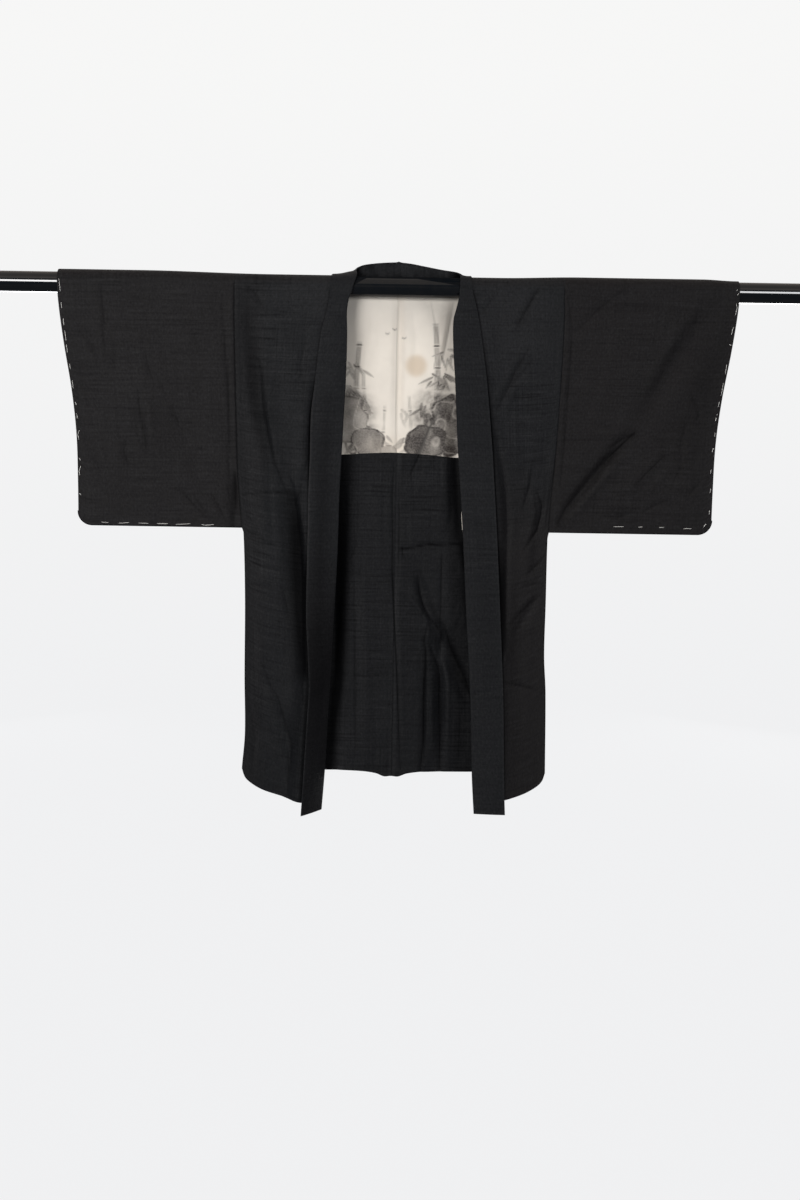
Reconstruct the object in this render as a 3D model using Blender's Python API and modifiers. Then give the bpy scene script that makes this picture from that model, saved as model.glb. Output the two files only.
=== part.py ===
"""A haori jacket hanging open on a round rod.

Metres, +Z up. The origin is the middle of the rod's axis, which runs along X. The front of the
jacket faces -Y, and left and right are as seen from the front, so the left side is at -X.
A "drop" is how far a point is below the rod's axis, and a "depth" is how far a cloth is from the
upright plane through that axis. The cloth goes over the rod by a "turn" in degrees: 0 at the
front of the rod, 90 on top of it and 180 behind it.
"""

import math
from collections import namedtuple

import bmesh
import bpy

for old in list(bpy.data.objects):
    bpy.data.objects.remove(old, do_unlink=True)

MM = 0.001

# The rod.
ROD_RADIUS = 19 * MM
ROD_LENGTH = 1600 * MM
ROD_SIDES = 40

# The cloth: walls, and the space left between pieces.
WALL = 1.6 * MM
LINING_WALL = 1.0 * MM
SEAM = 0.3 * MM
LAYER = 0.5 * MM

# The cut: how far each piece hangs below the rod's axis.
SLEEVE_DROP = 453 * MM
SLEEVE_CORNER = 26 * MM
LINING_DROP = 310 * MM
COLLAR_DROP = {"left": 1001 * MM, "right": 996 * MM}
NECK_DROP = 13.5 * MM

# The middle of the wall goes round the rod at these radii, in front and behind.
FRONT_RADIUS = ROD_RADIUS + 0.8 * MM + WALL / 2
BACK_RADIUS = FRONT_RADIUS + LINING_WALL + 1.2 * MM
PINCH = WALL / 2 + 0.35 * MM

SIDES = {"left": -1, "right": 1}

# Upright edges, as distances from the middle of the jacket in mm: drop, distance.
SLEEVE_END = [(-22, 636), (35, 634), (113, 626), (200, 614), (285, 606), (380, 604), (480, 604)]
SLEEVE_SEAM = {
    "left": [(-22, 306), (70, 306), (270, 302), (360, 299), (440, 293), (480, 290)],
    "right": [(-22, 309), (70, 311), (270, 305), (360, 299), (440, 294), (480, 294)],
}
BODY_SIDE = {
    "left": [(440, 293), (450, 291), (464, 288), (590, 284), (740, 283), (845, 281), (914, 286)],
    "right": [(440, 294), (462, 292), (590, 291), (690, 290), (760, 294), (922, 296)],
}
UNDERARM = 440 * MM

# The collar band down the fronts in mm: drop, its outer edge, its inner fold, how far it stands
# forward of the front, and how far its inner fold turns back from its outer edge.
COLLAR_RUN = {
    "left": [
        (0, 127, 84, 0, 0),
        (30, 129, 91, 0, 0),
        (90, 143, 95, 1, 0),
        (177, 153, 97, 2, 0),
        (243, 160, 100, 3, 0),
        (312, 161, 103, 4, 0),
        (381, 163, 106, 5, 0),
        (475, 164, 108, 6, 2),
        (548, 165, 111, 8, 10),
        (625, 166, 116, 12, 26),
        (700, 163, 120, 16, 40),
        (758, 161, 123, 18, 46),
        (816, 164, 126, 19, 46),
        (911, 169, 130, 20, 46),
        (1010, 175, 137, 20, 48),
    ],
    "right": [
        (0, 136, 112, 0, 0),
        (30, 144, 107, 0, 0),
        (70, 153, 105, 1, 0),
        (172, 168, 110, 2, 0),
        (290, 180, 117, 3, 0),
        (377, 187, 124, 4, 0),
        (470, 194, 131, 6, 0),
        (600, 202, 139, 10, 3),
        (770, 212, 151, 10, 6),
        (920, 217, 157, 8, 6),
        (1010, 221, 163, 8, 4),
    ],
}

# The collar round the neck in mm, from the centre back to the front of the rod: the turn and drop
# at which it is sewn to the body, and the places of its seam, of its fold (x, y, z) and of its
# free edge (x, y, z). The body's neckline follows the seam.
Neck = namedtuple("Neck", "turn drop seam fold_x fold_y fold_z edge_x edge_y edge_z")
NECK = {
    "left": [
        Neck(180, 13.5, 0, 0, 22.6, 50, 0, 31, -14),
        Neck(180, 13.5, 24, 23, 22.6, 49, 24, 31, -14),
        Neck(180, 13.5, 48, 46, 22.4, 47, 49, 31, -14),
        Neck(180, 13.5, 76, 67, 21, 43.5, 80, 31, -13),
        Neck(180, 11.0, 96, 79, 17, 39, 100, 30, -10),
        Neck(180, 1.0, 108, 86, 9, 33.5, 113, 27.5, 2),
        Neck(135, 0.0, 112, 88, 1, 29.5, 119, 18.5, 18.5),
        Neck(90, 0.0, 117, 87, -8, 26, 124, 0, 24.6),
        Neck(45, 0.0, 120, 85, -17.5, 17.5, 127, -17.2, 17.6),
        Neck(0, 0.0, 120.5, 84, -23.2, 2, 128, -23.6, -1),
    ],
    "right": [
        Neck(180, 13.5, 0, 0, 22.6, 50, 0, 31, -14),
        Neck(180, 13.5, 24, 24, 22.6, 48, 24, 31, -14),
        Neck(180, 13.5, 50, 49, 22.4, 44.5, 51, 31, -14),
        Neck(180, 13.5, 84, 79, 21, 39, 88, 31, -13),
        Neck(180, 11.0, 107, 96, 17, 36, 111, 30, -10),
        Neck(180, 1.0, 121, 106, 9, 32, 126, 27.5, 2),
        Neck(135, 0.0, 126, 111, 1, 28.5, 131, 18.5, 18.5),
        Neck(90, 0.0, 129.5, 114, -8, 25.5, 135, 0, 24.6),
        Neck(45, 0.0, 130, 114, -17.5, 17.5, 137, -17.2, 17.6),
        Neck(0, 0.0, 129.5, 112, -23.2, 2, 137, -23.6, -1),
    ],
}
COLLAR_OVERLAP = 6 * MM
FRONT_STEP = 4 * MM
COLLAR_LAYERS = WALL + LAYER

# Hems in mm. Front: how far from the side seam, drop. Back: how far from the centre, drop.
# The widths of front and back near the hem are taken at these drops.
FRONT_HEM_AT = 940 * MM
BACK_HEM_AT = 930 * MM
FRONT_HEM = [(0, 915), (5, 930), (16, 942), (40, 956), (75, 967), (114, 976), (180, 978)]
BACK_HEM = [(0, 939), (14, 940), (30, 934), (60, 930), (160, 928), (300, 924)]

# How far each cloth hangs from the middle plane in mm: drop, in the middle of a front or back,
# and at the side seams.
FRONT_HANG = [(0, 20.6), (200, 21), (500, 23), (750, 25), (1010, 27)]
BACK_HANG = [(0, 22.8), (300, 24), (600, 25), (1010, 28)]
SIDE_HANG = [(0, 20.6), (120, 15.3), (300, 7.3), (440, 1.7), (462, 2.4), (550, 8), (750, 20)]
SIDE_HANG += [(1010, 34)]
SIDE_EASE = 130 * MM

# The sleeve is closed along its bottom, and along its end from this drop down.
HAND_OPENING = 265 * MM
END_EASE = 70 * MM

# The largest folds in mm: from (x, drop) to (x, drop), half width, and rise towards the viewer in
# front (or away from the middle plane at the back). A sleeve's folds bend both its layers.
Fold = namedtuple("Fold", "x0 drop0 x1 drop1 width rise")
FRONT_FOLDS = [
    Fold(-212, 380, -186, 450, 11, -8),
    Fold(-186, 450, -181, 600, 11, -17),
    Fold(-181, 600, -176, 690, 9, -10),
    Fold(-238, 300, -222, 520, 16, 5),
    Fold(-240, 745, -200, 940, 12, 4),
    Fold(213, 500, 220, 700, 9, -11),
    Fold(236, 150, 200, 232, 10, 4),
    Fold(262, 400, 250, 540, 12, 4),
    Fold(280, 570, 238, 640, 9, -4),
]
BACK_FOLDS = [
    Fold(-118, 330, -108, 920, 12, 9),
    Fold(30, 500, 80, 640, 12, 7),
    Fold(80, 640, 150, 790, 13, 9),
    Fold(66, 620, 70, 920, 7, -6),
    Fold(90, 640, 94, 920, 8, 6),
    Fold(-55, 560, -48, 910, 14, -4),
    Fold(112, 250, 124, 470, 12, 7),
    Fold(-220, 480, -205, 900, 20, 5),
    Fold(205, 500, 225, 880, 18, 5),
]
SLEEVE_FOLDS = [
    Fold(440, 262, 322, 420, 11, -7),
    Fold(425, 312, 330, 430, 9, 5),
    Fold(590, 30, 464, 235, 26, -5),
    Fold(505, 305, 440, 372, 12, 4),
    Fold(-470, 225, -452, 330, 14, 5),
    Fold(-420, 230, -345, 400, 20, -4),
    Fold(-555, 5, -550, 160, 10, 3),
    Fold(-590, 240, -520, 420, 22, 3),
]


def smooth(t):
    """0 below t = 0, 1 above t = 1, and an even curve between them."""
    t = min(max(t, 0.0), 1.0)
    return t * t * (3 - 2 * t)


def mix(a, b, t):
    return a + (b - a) * t


def read(table, at, column=1):
    """A column of a table in mm, in metres, on a smooth curve through the table's rows."""
    rows = [(row[0], row[column]) for row in table]
    at = min(max(at / MM, rows[0][0]), rows[-1][0])
    i = max(k for k in range(len(rows) - 1) if rows[k][0] <= at)

    def slope(k):
        low, high = max(k - 1, 0), min(k + 1, len(rows) - 1)
        return (rows[high][1] - rows[low][1]) / (rows[high][0] - rows[low][0])

    span = rows[i + 1][0] - rows[i][0]
    t = (at - rows[i][0]) / span
    a, b = rows[i][1], rows[i + 1][1]
    bent = t * (1 - t) * ((1 - t) * (slope(i) * span - (b - a)) - t * (slope(i + 1) * span - (b - a)))
    return (mix(a, b, t) + bent) * MM


def folded(folds, x, drop):
    """The rise of all the folds of a table at a point of the cloth."""
    total = 0.0
    for fold in folds:
        x0, d0 = fold.x0 * MM, fold.drop0 * MM
        run_x, run_d = fold.x1 * MM - x0, fold.drop1 * MM - d0
        along = ((x - x0) * run_x + (drop - d0) * run_d) / (run_x**2 + run_d**2)
        along = min(max(along, 0.0), 1.0)
        off = math.hypot(x - x0 - along * run_x, drop - d0 - along * run_d) / (fold.width * MM)
        if off < 3:
            total += fold.rise * MM * (0.3 + 0.7 * math.sin(math.pi * along)) * math.exp(-off * off)
    return total


def collar_at(side, drop):
    """The collar at this drop: outer edge, inner fold, how far forward, how far turned back."""
    return [read(COLLAR_RUN[side], drop, column) for column in (1, 2, 3, 4)]


def body_side(side, drop):
    """Where the body ends: at the sleeve's seam, and below the sleeve at the gusset."""
    table = BODY_SIDE if drop > UNDERARM else SLEEVE_SEAM
    return read(table[side], drop)


def front_depth(side, x, drop):
    """How far the body's front hangs in front of the middle plane."""
    x = abs(x)
    inward = body_side(side, drop) - x
    depth = mix(read(SIDE_HANG, drop), read(FRONT_HANG, drop), smooth(inward / SIDE_EASE))
    outer, _, forward, _ = collar_at(side, drop)
    depth += forward * math.exp(-(((x - outer) / (24 * MM)) ** 2))
    ease = smooth(inward / (30 * MM)) * smooth(drop / (40 * MM))
    return depth + ease * folded(FRONT_FOLDS, SIDES[side] * x, drop)


def back_depth(side, x, drop):
    """How far the body's back hangs behind the middle plane."""
    x = abs(x)
    inward = body_side(side, drop) - x
    at_side = read(SIDE_HANG, drop) + (BACK_RADIUS - FRONT_RADIUS) * smooth(1 - drop / (60 * MM))
    depth = mix(at_side, read(BACK_HANG, drop), smooth(inward / SIDE_EASE))
    ease = smooth(inward / (30 * MM)) * smooth(drop / (40 * MM))
    return depth + ease * folded(BACK_FOLDS, SIDES[side] * x, drop)


def over_rod(x, turn):
    """The middle of the cloth's wall where it lies on the rod."""
    radius = mix(FRONT_RADIUS, BACK_RADIUS, smooth((turn - 90) / 90))
    angle = math.radians(turn)
    return x, -radius * math.cos(angle), radius * math.sin(angle)


def body_point(side, x, turn, drop):
    if 0 < turn < 180:
        return over_rod(x, turn)
    if turn <= 0:
        return x, -front_depth(side, x, drop), -drop
    return x, back_depth(side, x, drop), -drop


def grid_piece(name, columns, rows, place, wall, colour, keep=None):
    """A cloth piece: a grid whose points are placed one by one, given a wall by Solidify."""
    mesh = bpy.data.meshes.new(name)
    bm = bmesh.new()
    bmesh.ops.create_grid(bm, x_segments=columns, y_segments=rows, size=1.0)
    bm.verts.ensure_lookup_table()
    for index, vert in enumerate(bm.verts):
        row, column = divmod(index, columns + 1)
        vert.co = place(column, row)
    if keep:
        cell = {vert: divmod(index, columns + 1) for index, vert in enumerate(bm.verts)}
        away = []
        for face in bm.faces:
            row, column = min(cell[vert] for vert in face.verts)
            if not keep(column, row):
                away.append(face)
        bmesh.ops.delete(bm, geom=away, context="FACES")
    bmesh.ops.remove_doubles(bm, verts=bm.verts, dist=0.001 * MM)
    bm.to_mesh(mesh)
    bm.free()
    piece = bpy.data.objects.new(name, mesh)
    garment.objects.link(piece)
    solidify = piece.modifiers.new("wall", "SOLIDIFY")
    solidify.thickness = wall
    solidify.offset = 0.0
    solidify.use_even_offset = True
    mesh.materials.append(colour)
    mesh.shade_smooth()
    return piece


def material(name, colour, roughness):
    made = bpy.data.materials.new(name)
    made.use_nodes = True
    shader = made.node_tree.nodes["Principled BSDF"]
    shader.inputs["Base Color"].default_value = (*colour, 1.0)
    shader.inputs["Roughness"].default_value = roughness
    shader.inputs["Metallic"].default_value = 0.0
    return made


garment = bpy.data.collections.new("haori_jacket")
bpy.context.scene.collection.children.link(garment)

black_silk = material("black silk", (0.014, 0.014, 0.016), 0.7)
cream_silk = material("cream lining silk", (0.72, 0.66, 0.56), 0.6)
black_gloss = material("black gloss paint", (0.006, 0.006, 0.007), 0.15)


# ---- Sleeves: each one length, folded over the rod and closed along the bottom ----

# Across the sleeve from its seam (0) to its end (1), closer together round the lower corner.
SLEEVE_ACROSS = [0, 0.07, 0.16, 0.25, 0.34, 0.43, 0.52, 0.61, 0.70, 0.78, 0.85, 0.915, 0.95, 0.975, 0.992, 1]
SLEEVE_DOWN = [0, 0.07, 0.16, 0.25, 0.34, 0.43, 0.51, 0.58, 0.66, 0.74, 0.82, 0.90, 0.96, 1]
ROD_TURNS = [22.5, 45, 67.5, 90, 112.5, 135, 157.5]
SLEEVE_LOOP = (
    [("bottom", 1)]
    + [("front", down) for down in reversed(SLEEVE_DOWN)]
    + [("rod", turn) for turn in ROD_TURNS]
    + [("back", down) for down in SLEEVE_DOWN]
    + [("bottom", 1)]
)


def sleeve_point(side, across, face, down):
    seam_x = read(SLEEVE_SEAM[side], SLEEVE_DROP) + SEAM / 2
    end_x = read(SLEEVE_END, SLEEVE_DROP)
    into_corner = max(0.0, SLEEVE_CORNER - (1 - across) * (end_x - seam_x))
    rise = SLEEVE_CORNER - math.sqrt(SLEEVE_CORNER**2 - into_corner**2)
    bottom = SLEEVE_DROP - rise
    drop = 0.0 if face == "rod" else down * bottom
    x = mix(read(SLEEVE_SEAM[side], drop) + SEAM / 2, read(SLEEVE_END, drop), across)
    if face == "rod":
        return over_rod(SIDES[side] * x, down)
    # The two layers close on each other towards the bottom, and sooner at the sleeve's end.
    radius = BACK_RADIUS if face == "back" else FRONT_RADIUS
    apart = mix(radius, PINCH, down)
    at_end = mix(radius, PINCH, smooth(drop / HAND_OPENING) ** 0.8)
    from_end = read(SLEEVE_END, drop) - x
    apart = mix(at_end, apart, smooth(from_end / END_EASE))
    ease = smooth(drop / (60 * MM)) * smooth((x - read(SLEEVE_SEAM[side], drop)) / (30 * MM))
    sway = -ease * folded(SLEEVE_FOLDS, SIDES[side] * x, drop)
    if face == "bottom":
        outward = into_corner / SLEEVE_CORNER
        downward = math.sqrt(1 - outward * outward)
        return SIDES[side] * (x + PINCH * outward), sway, -drop - PINCH * downward
    return SIDES[side] * x, sway + (apart if face == "back" else -apart), -drop


def add_sleeve(side):
    grid_piece(
        f"sleeve_{side}",
        len(SLEEVE_ACROSS) - 1,
        len(SLEEVE_LOOP) - 1,
        lambda column, row: sleeve_point(side, SLEEVE_ACROSS[column], *SLEEVE_LOOP[row]),
        WALL,
        black_silk,
    )


# ---- Body: each side one length from the front hem over the shoulder to the back hem ----

FRONT_ACROSS = [0, 0.04, 0.13, 0.26, 0.40, 0.53, 0.65, 0.75, 0.83, 0.89, 0.945, 1]
NECK_ACROSS = [0.18, 0.39, 0.6, 0.8, 1]
FRONT_DOWN = [1, 0.975, 0.94, 0.90, 0.855, 0.81, 0.765, 0.72, 0.675, 0.63, 0.585, 0.54, 0.49, 0.44, 0.385]
FRONT_DOWN += [0.33, 0.27, 0.21, 0.15, 0.09, 0.04, 0]
EDGE = 1.0 * MM
NECKLINE = NECK_DROP + EDGE
BACK_DROPS = [45, 90, 140, 195, 250, 310, 350, 395, 440, 485, 530, 580, 630, 680, 730, 780, 830, 880]
BODY_RUN = (
    [("front", down) for down in FRONT_DOWN]
    + [("rod", turn) for turn in ROD_TURNS]
    + [("back", 0.0), ("back", NECKLINE)]
    + [("back", drop * MM) for drop in BACK_DROPS]
    + [("back", None)]
)
NECK_ROW = BODY_RUN.index(("back", NECKLINE))
LINING_ROW = BODY_RUN.index(("back", LINING_DROP))
BODY_COLUMNS = len(FRONT_ACROSS) - 1 + len(NECK_ACROSS)
# The columns behind the neck have no cells in front of it: their points there are taken away.
SPARE_POINT = (0.0, 0.0, 0.0)


def neck_x(side, turn, drop=0.0):
    """Where the body's neckline is at a turn round the rod, or at a drop behind it."""
    rows = [(row.turn, row.seam) for row in reversed(NECK[side]) if row.turn < 180]
    behind = [(row.drop, row.seam) for row in NECK[side] if row.turn == 180 and row.seam > 90]
    if turn < 180:
        return read([(a * 1.0, b) for a, b in rows] + [(180, behind[-1][1] + 1)], turn * MM) + EDGE
    return read([(a, b) for a, b in reversed(behind)], drop) + EDGE


def front_edge(side, drop):
    """The body's front edge, where the collar is sewn on, under the collar's outer edge."""
    return collar_at(side, drop)[0] - COLLAR_OVERLAP


def seam_hem(side):
    """The drop of the front hem where it meets the collar."""
    return read(FRONT_HEM, body_side(side, FRONT_HEM_AT) - front_edge(side, FRONT_HEM_AT))


def body_place(side, column, row):
    part, down = BODY_RUN[row]
    inner = column < len(FRONT_ACROSS)
    across = FRONT_ACROSS[column] if inner else NECK_ACROSS[column - len(FRONT_ACROSS)]
    if part != "back" and not inner:
        return SPARE_POINT
    if part == "front":
        # The hem is read where the column ends, and the column's drop is a share of it.
        hem_width = body_side(side, FRONT_HEM_AT) - front_edge(side, FRONT_HEM_AT)
        drop = down * read(FRONT_HEM, across * hem_width)
        x = mix(body_side(side, drop) - SEAM / 2, front_edge(side, drop), across)
        return body_point(side, SIDES[side] * x, 0, drop)
    if part == "rod":
        x = mix(body_side(side, 0) - SEAM / 2, neck_x(side, down), across)
        return body_point(side, SIDES[side] * x, down, 0)
    def column_x(drop):
        corner = neck_x(side, 180, min(drop, NECK_DROP))
        if inner:
            return mix(body_side(side, drop) - SEAM / 2, corner, across)
        return mix(corner, SEAM / 2, across)

    # The last row, with no drop of its own, is the back hem.
    drop = read(BACK_HEM, column_x(BACK_HEM_AT)) if down is None else down
    return body_point(side, SIDES[side] * column_x(drop), 180, drop)


def add_body(side):
    front_columns = len(FRONT_ACROSS) - 1
    grid_piece(
        f"body_{side}",
        BODY_COLUMNS,
        len(BODY_RUN) - 1,
        lambda column, row: body_place(side, column, row),
        WALL,
        black_silk,
        keep=lambda column, row: column < front_columns or row >= NECK_ROW,
    )


# ---- Gussets: long wedges between front and back, from the underarm to the hem ----

GUSSET_TOP = 478 * MM
GUSSET_HEM = 916 * MM
GUSSET_ACROSS = [-1, -0.6, -0.2, 0.2, 0.6, 1]
GUSSET_ROWS = 13
GUSSET_INSET = 1.6 * MM
GUSSET_SLACK = 0.32


def gusset_point(side, across, down):
    drop = mix(GUSSET_TOP, GUSSET_HEM, down)
    x = body_side(side, drop) - GUSSET_INSET
    front = front_depth(side, x, drop) - WALL / 2 - LAYER
    back = back_depth(side, x, drop) - WALL / 2 - LAYER
    y = mix(-front, back, (across + 1) / 2)
    slack = GUSSET_SLACK * front * (1 - across * across)
    return SIDES[side] * (x - slack), y, -drop


def add_gusset(side):
    grid_piece(
        f"gusset_{side}",
        len(GUSSET_ACROSS) - 1,
        GUSSET_ROWS,
        lambda column, row: gusset_point(side, GUSSET_ACROSS[column], row / GUSSET_ROWS),
        WALL,
        black_silk,
    )


# ---- Collar: a band folded in half outwards, from the centre back to a front hem ----

STAND = [0, 0.34, 0.67, 1]
FALL = [1, 0.67, 0.34, 0]
NECK_STEPS = 2
TURN_SLACK = 1.0
COLLAR_OFF_ROD = 0.8 * MM


def neck_station(side, at):
    """Seam, fold and free edge at a place between two rows of the neck table."""
    rows = NECK[side]
    i = min(int(at), len(rows) - 2)
    t = at - i

    def value(column):
        a, b = rows[i][column], rows[i + 1][column]
        before = rows[max(i - 1, 0)][column]
        after = rows[min(i + 2, len(rows) - 1)][column]
        in_slope, out_slope = (b - before) / 2, (after - a) / 2
        bent = t * (1 - t) * ((1 - t) * (in_slope - (b - a)) - t * (out_slope - (b - a)))
        return mix(a, b, t) + bent

    turn, drop, seam = value(0), max(value(1), 0.0), value(2)
    if turn > 180 - TURN_SLACK:
        turn = 180
    x = SIDES[side] * max(seam * MM, SEAM / 2)
    start = body_point(side, x, max(turn, 0), drop * MM)
    fold = (SIDES[side] * max(value(3) * MM, SEAM / 2), value(4) * MM, value(5) * MM)
    edge = (SIDES[side] * max(value(6) * MM, SEAM / 2), value(7) * MM, value(8) * MM)
    return plus(start, unit(minus(fold, start)), SEAM * 3), fold, edge


def front_station(side, drop):
    """Seam, fold and free edge of the collar down the front."""
    _, inner, _, turned = collar_at(side, drop)
    edge_x = front_edge(side, drop)
    depth = front_depth(side, edge_x, drop)
    sign = SIDES[side]
    fold = (sign * inner, -depth + turned, -drop)
    inward = unit((edge_x - inner, -turned, 0))
    # The band starts far enough in for its corner to clear the corner of the body's edge.
    body_run = unit((FRONT_STEP, front_depth(side, edge_x + FRONT_STEP, drop) - depth, 0))
    bend = math.acos(min(1.0, inward[0] * body_run[0] - inward[1] * body_run[1]))
    start_in = (SEAM + WALL / 2 * math.sin(bend)) / max(math.cos(bend), 0.4)
    start = (sign * (edge_x - start_in * inward[0]), -depth - start_in * inward[1], -drop)
    # The fall lies on the stand, and its free edge passes the seam by the overlap.
    over = (sign * (edge_x + COLLAR_OVERLAP * inward[0]), -depth + COLLAR_OVERLAP * inward[1], -drop)
    face = (sign * inward[1], -inward[0], 0)
    return start, fold, plus(over, face, COLLAR_LAYERS)


def collar_stations(side):
    last = len(NECK[side]) - 1
    stations = [neck_station(side, k / NECK_STEPS) for k in range(last * NECK_STEPS + 1)]
    hem = seam_hem(side)
    stations += [front_station(side, down * hem) for down in reversed(FRONT_DOWN) if down > 0]
    stations.append(front_station(side, COLLAR_DROP[side]))
    return stations


def minus(a, b):
    return tuple(p - q for p, q in zip(a, b))


def plus(a, b, scale=1.0):
    return tuple(p + q * scale for p, q in zip(a, b))


def unit(a):
    length = math.sqrt(sum(p * p for p in a))
    return tuple(p / length for p in a)


def cross(a, b):
    return (a[1] * b[2] - a[2] * b[1], a[2] * b[0] - a[0] * b[2], a[0] * b[1] - a[1] * b[0])


def clear_of_rod(point):
    """The point, moved straight away from the rod's axis where the wall would touch the rod."""
    radius = math.hypot(point[1], point[2])
    grow = max(1.0, (FRONT_RADIUS + COLLAR_OFF_ROD) / radius)
    return point[0], point[1] * grow, point[2] * grow


def collar_section(side, stations, k):
    """The points of the band from its seam, round its fold, to its free edge."""
    start, fold, edge = stations[k]
    rise = unit(minus(fold, start))
    before, after = stations[max(k - 1, 0)], stations[min(k + 1, len(stations) - 1)]
    run = unit(minus(after[1], before[1]))
    out = unit(cross(rise, run) if side == "right" else cross(run, rise))
    half = COLLAR_LAYERS / 2
    points = [clear_of_rod(tuple(mix(p, q, t) for p, q in zip(start, fold))) for t in STAND]
    for angle in (-45, 0, 45):
        turn = math.radians(angle)
        bend = plus(plus(fold, rise, half * math.cos(turn)), out, half + half * math.sin(turn))
        points.append(bend)
    top = plus(fold, out, COLLAR_LAYERS)
    points += [tuple(mix(p, q, t) for p, q in zip(edge, top)) for t in FALL]
    return points


def add_collar(side):
    stations = collar_stations(side)
    sections = [collar_section(side, stations, k) for k in range(len(stations))]
    grid_piece(
        f"collar_{side}",
        len(sections[0]) - 1,
        len(sections) - 1,
        lambda column, row: sections[row][column],
        WALL,
        black_silk,
    )


# ---- Inside the back: the cream lining above, the black turned-up hem below ----

INSIDE_COLUMN = 2
LINING_OFF = WALL / 2 + LINING_WALL / 2 + 1.0 * MM
TURN_UP_OFF = WALL + 1.0 * MM
TURN_UP_SHORT = 1.5 * MM


def inside_back(name, side, first_row, last_row, off, nudges, wall, colour):
    """A piece made from the back's own points, moved in, with its top and bottom edges nudged."""

    def place(column, row):
        x, y, z = body_place(side, INSIDE_COLUMN + column, first_row + row)
        return x, y - off, z + nudges.get(first_row + row, 0.0)

    columns = BODY_COLUMNS - INSIDE_COLUMN
    grid_piece(name, columns, last_row - first_row, place, wall, colour)


def add_lining(side):
    nudges = {NECK_ROW: -EDGE, LINING_ROW: SEAM / 2}
    name = f"lining_{side}"
    inside_back(name, side, NECK_ROW, LINING_ROW, LINING_OFF, nudges, LINING_WALL, cream_silk)


def add_turn_up(side):
    last = len(BODY_RUN) - 1
    nudges = {LINING_ROW: -SEAM / 2, last: TURN_UP_SHORT}
    inside_back(f"turn_up_{side}", side, LINING_ROW, last, TURN_UP_OFF, nudges, WALL, black_silk)


# ---- The edge of the front's lining that shows beside the right collar ----

STRIP_TOP = 402 * MM
STRIP_BOTTOM = 452 * MM
STRIP_WIDTH = 16 * MM
STRIP_SHOWS = 3 * MM


def add_lining_front():
    def place(column, row):
        drop = mix(STRIP_TOP, STRIP_BOTTOM, row / 4)
        _, inner, _, _ = collar_at("right", drop)
        shows = STRIP_SHOWS * smooth(row / 2)
        depth = front_depth("right", front_edge("right", drop), drop)
        return inner - shows + STRIP_WIDTH * column / 4, -depth + WALL + LAYER, -drop

    grid_piece("lining_front", 4, 4, place, LINING_WALL, cream_silk)


# ---- The rod ----


def add_rod():
    bpy.ops.mesh.primitive_cylinder_add(
        vertices=ROD_SIDES, radius=ROD_RADIUS, depth=ROD_LENGTH, rotation=(0, math.pi / 2, 0)
    )
    rod = bpy.context.active_object
    rod.name = "rod"
    for holder in list(rod.users_collection):
        holder.objects.unlink(rod)
    garment.objects.link(rod)
    rod.data.materials.append(black_gloss)
    rod.data.shade_smooth()
    rod.data.set_sharp_from_angle(angle=math.radians(40))


for one_side in SIDES:
    add_sleeve(one_side)
    add_body(one_side)
    add_gusset(one_side)
    add_collar(one_side)
    add_lining(one_side)
    add_turn_up(one_side)
add_lining_front()
add_rod()
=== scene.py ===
# %% [markdown]
# # A haori jacket hanging open on a rod
# A haori is a short silk coat, sewn from straight lengths of one narrow bolt of cloth. Here it
# hangs from a round rod with its fronts open, so that the cream lining shows inside the back.
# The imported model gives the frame. Each cloth solid in it is replaced by a finer sheet, and the
# rod stays and gets a better finish.

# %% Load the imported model
import math
from collections import namedtuple

import bpy
import numpy as np
from mathutils import Matrix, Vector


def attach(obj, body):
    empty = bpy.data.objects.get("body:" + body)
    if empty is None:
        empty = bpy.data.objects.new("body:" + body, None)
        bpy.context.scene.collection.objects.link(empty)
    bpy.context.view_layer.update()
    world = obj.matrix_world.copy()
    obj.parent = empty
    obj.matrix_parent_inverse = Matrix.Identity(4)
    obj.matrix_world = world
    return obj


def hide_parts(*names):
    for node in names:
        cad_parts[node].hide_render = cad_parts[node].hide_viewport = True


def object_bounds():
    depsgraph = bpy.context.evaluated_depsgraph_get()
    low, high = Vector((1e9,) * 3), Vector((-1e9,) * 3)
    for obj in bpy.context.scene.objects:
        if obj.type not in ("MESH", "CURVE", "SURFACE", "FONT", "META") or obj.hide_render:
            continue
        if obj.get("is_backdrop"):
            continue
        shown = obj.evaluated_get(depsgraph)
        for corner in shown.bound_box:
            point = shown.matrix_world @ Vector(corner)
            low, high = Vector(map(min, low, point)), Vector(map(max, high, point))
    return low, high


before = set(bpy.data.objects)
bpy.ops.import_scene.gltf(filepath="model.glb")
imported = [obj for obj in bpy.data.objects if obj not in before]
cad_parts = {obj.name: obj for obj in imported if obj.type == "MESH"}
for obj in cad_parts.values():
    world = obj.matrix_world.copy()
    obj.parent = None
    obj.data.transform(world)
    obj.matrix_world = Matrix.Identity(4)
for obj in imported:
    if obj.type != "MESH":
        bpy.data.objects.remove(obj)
cad_box = [list(corner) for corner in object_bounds()]
MM = 0.001
SIDES = {"left": -1, "right": 1}
print("nodes:", ", ".join(sorted(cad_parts)))

# %% [markdown]
# ## Camera
# The camera stands a little below the rod and looks slightly down. Its lens is given by how far
# the picture plane would be, in pixels of a picture 1200 pixels high, which is easy to work with
# when lines on the object have to meet lines in a picture.

# %% Camera
PICTURE_HEIGHT = 1200
PICTURE_DISTANCE = 1167
SENSOR = 36.0
CAMERA_PLACE = (0.01233, -2.23278, -0.39322)
CAMERA_PITCH = math.radians(5.0)
CAMERA_ROLL = math.radians(0.93)

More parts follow.
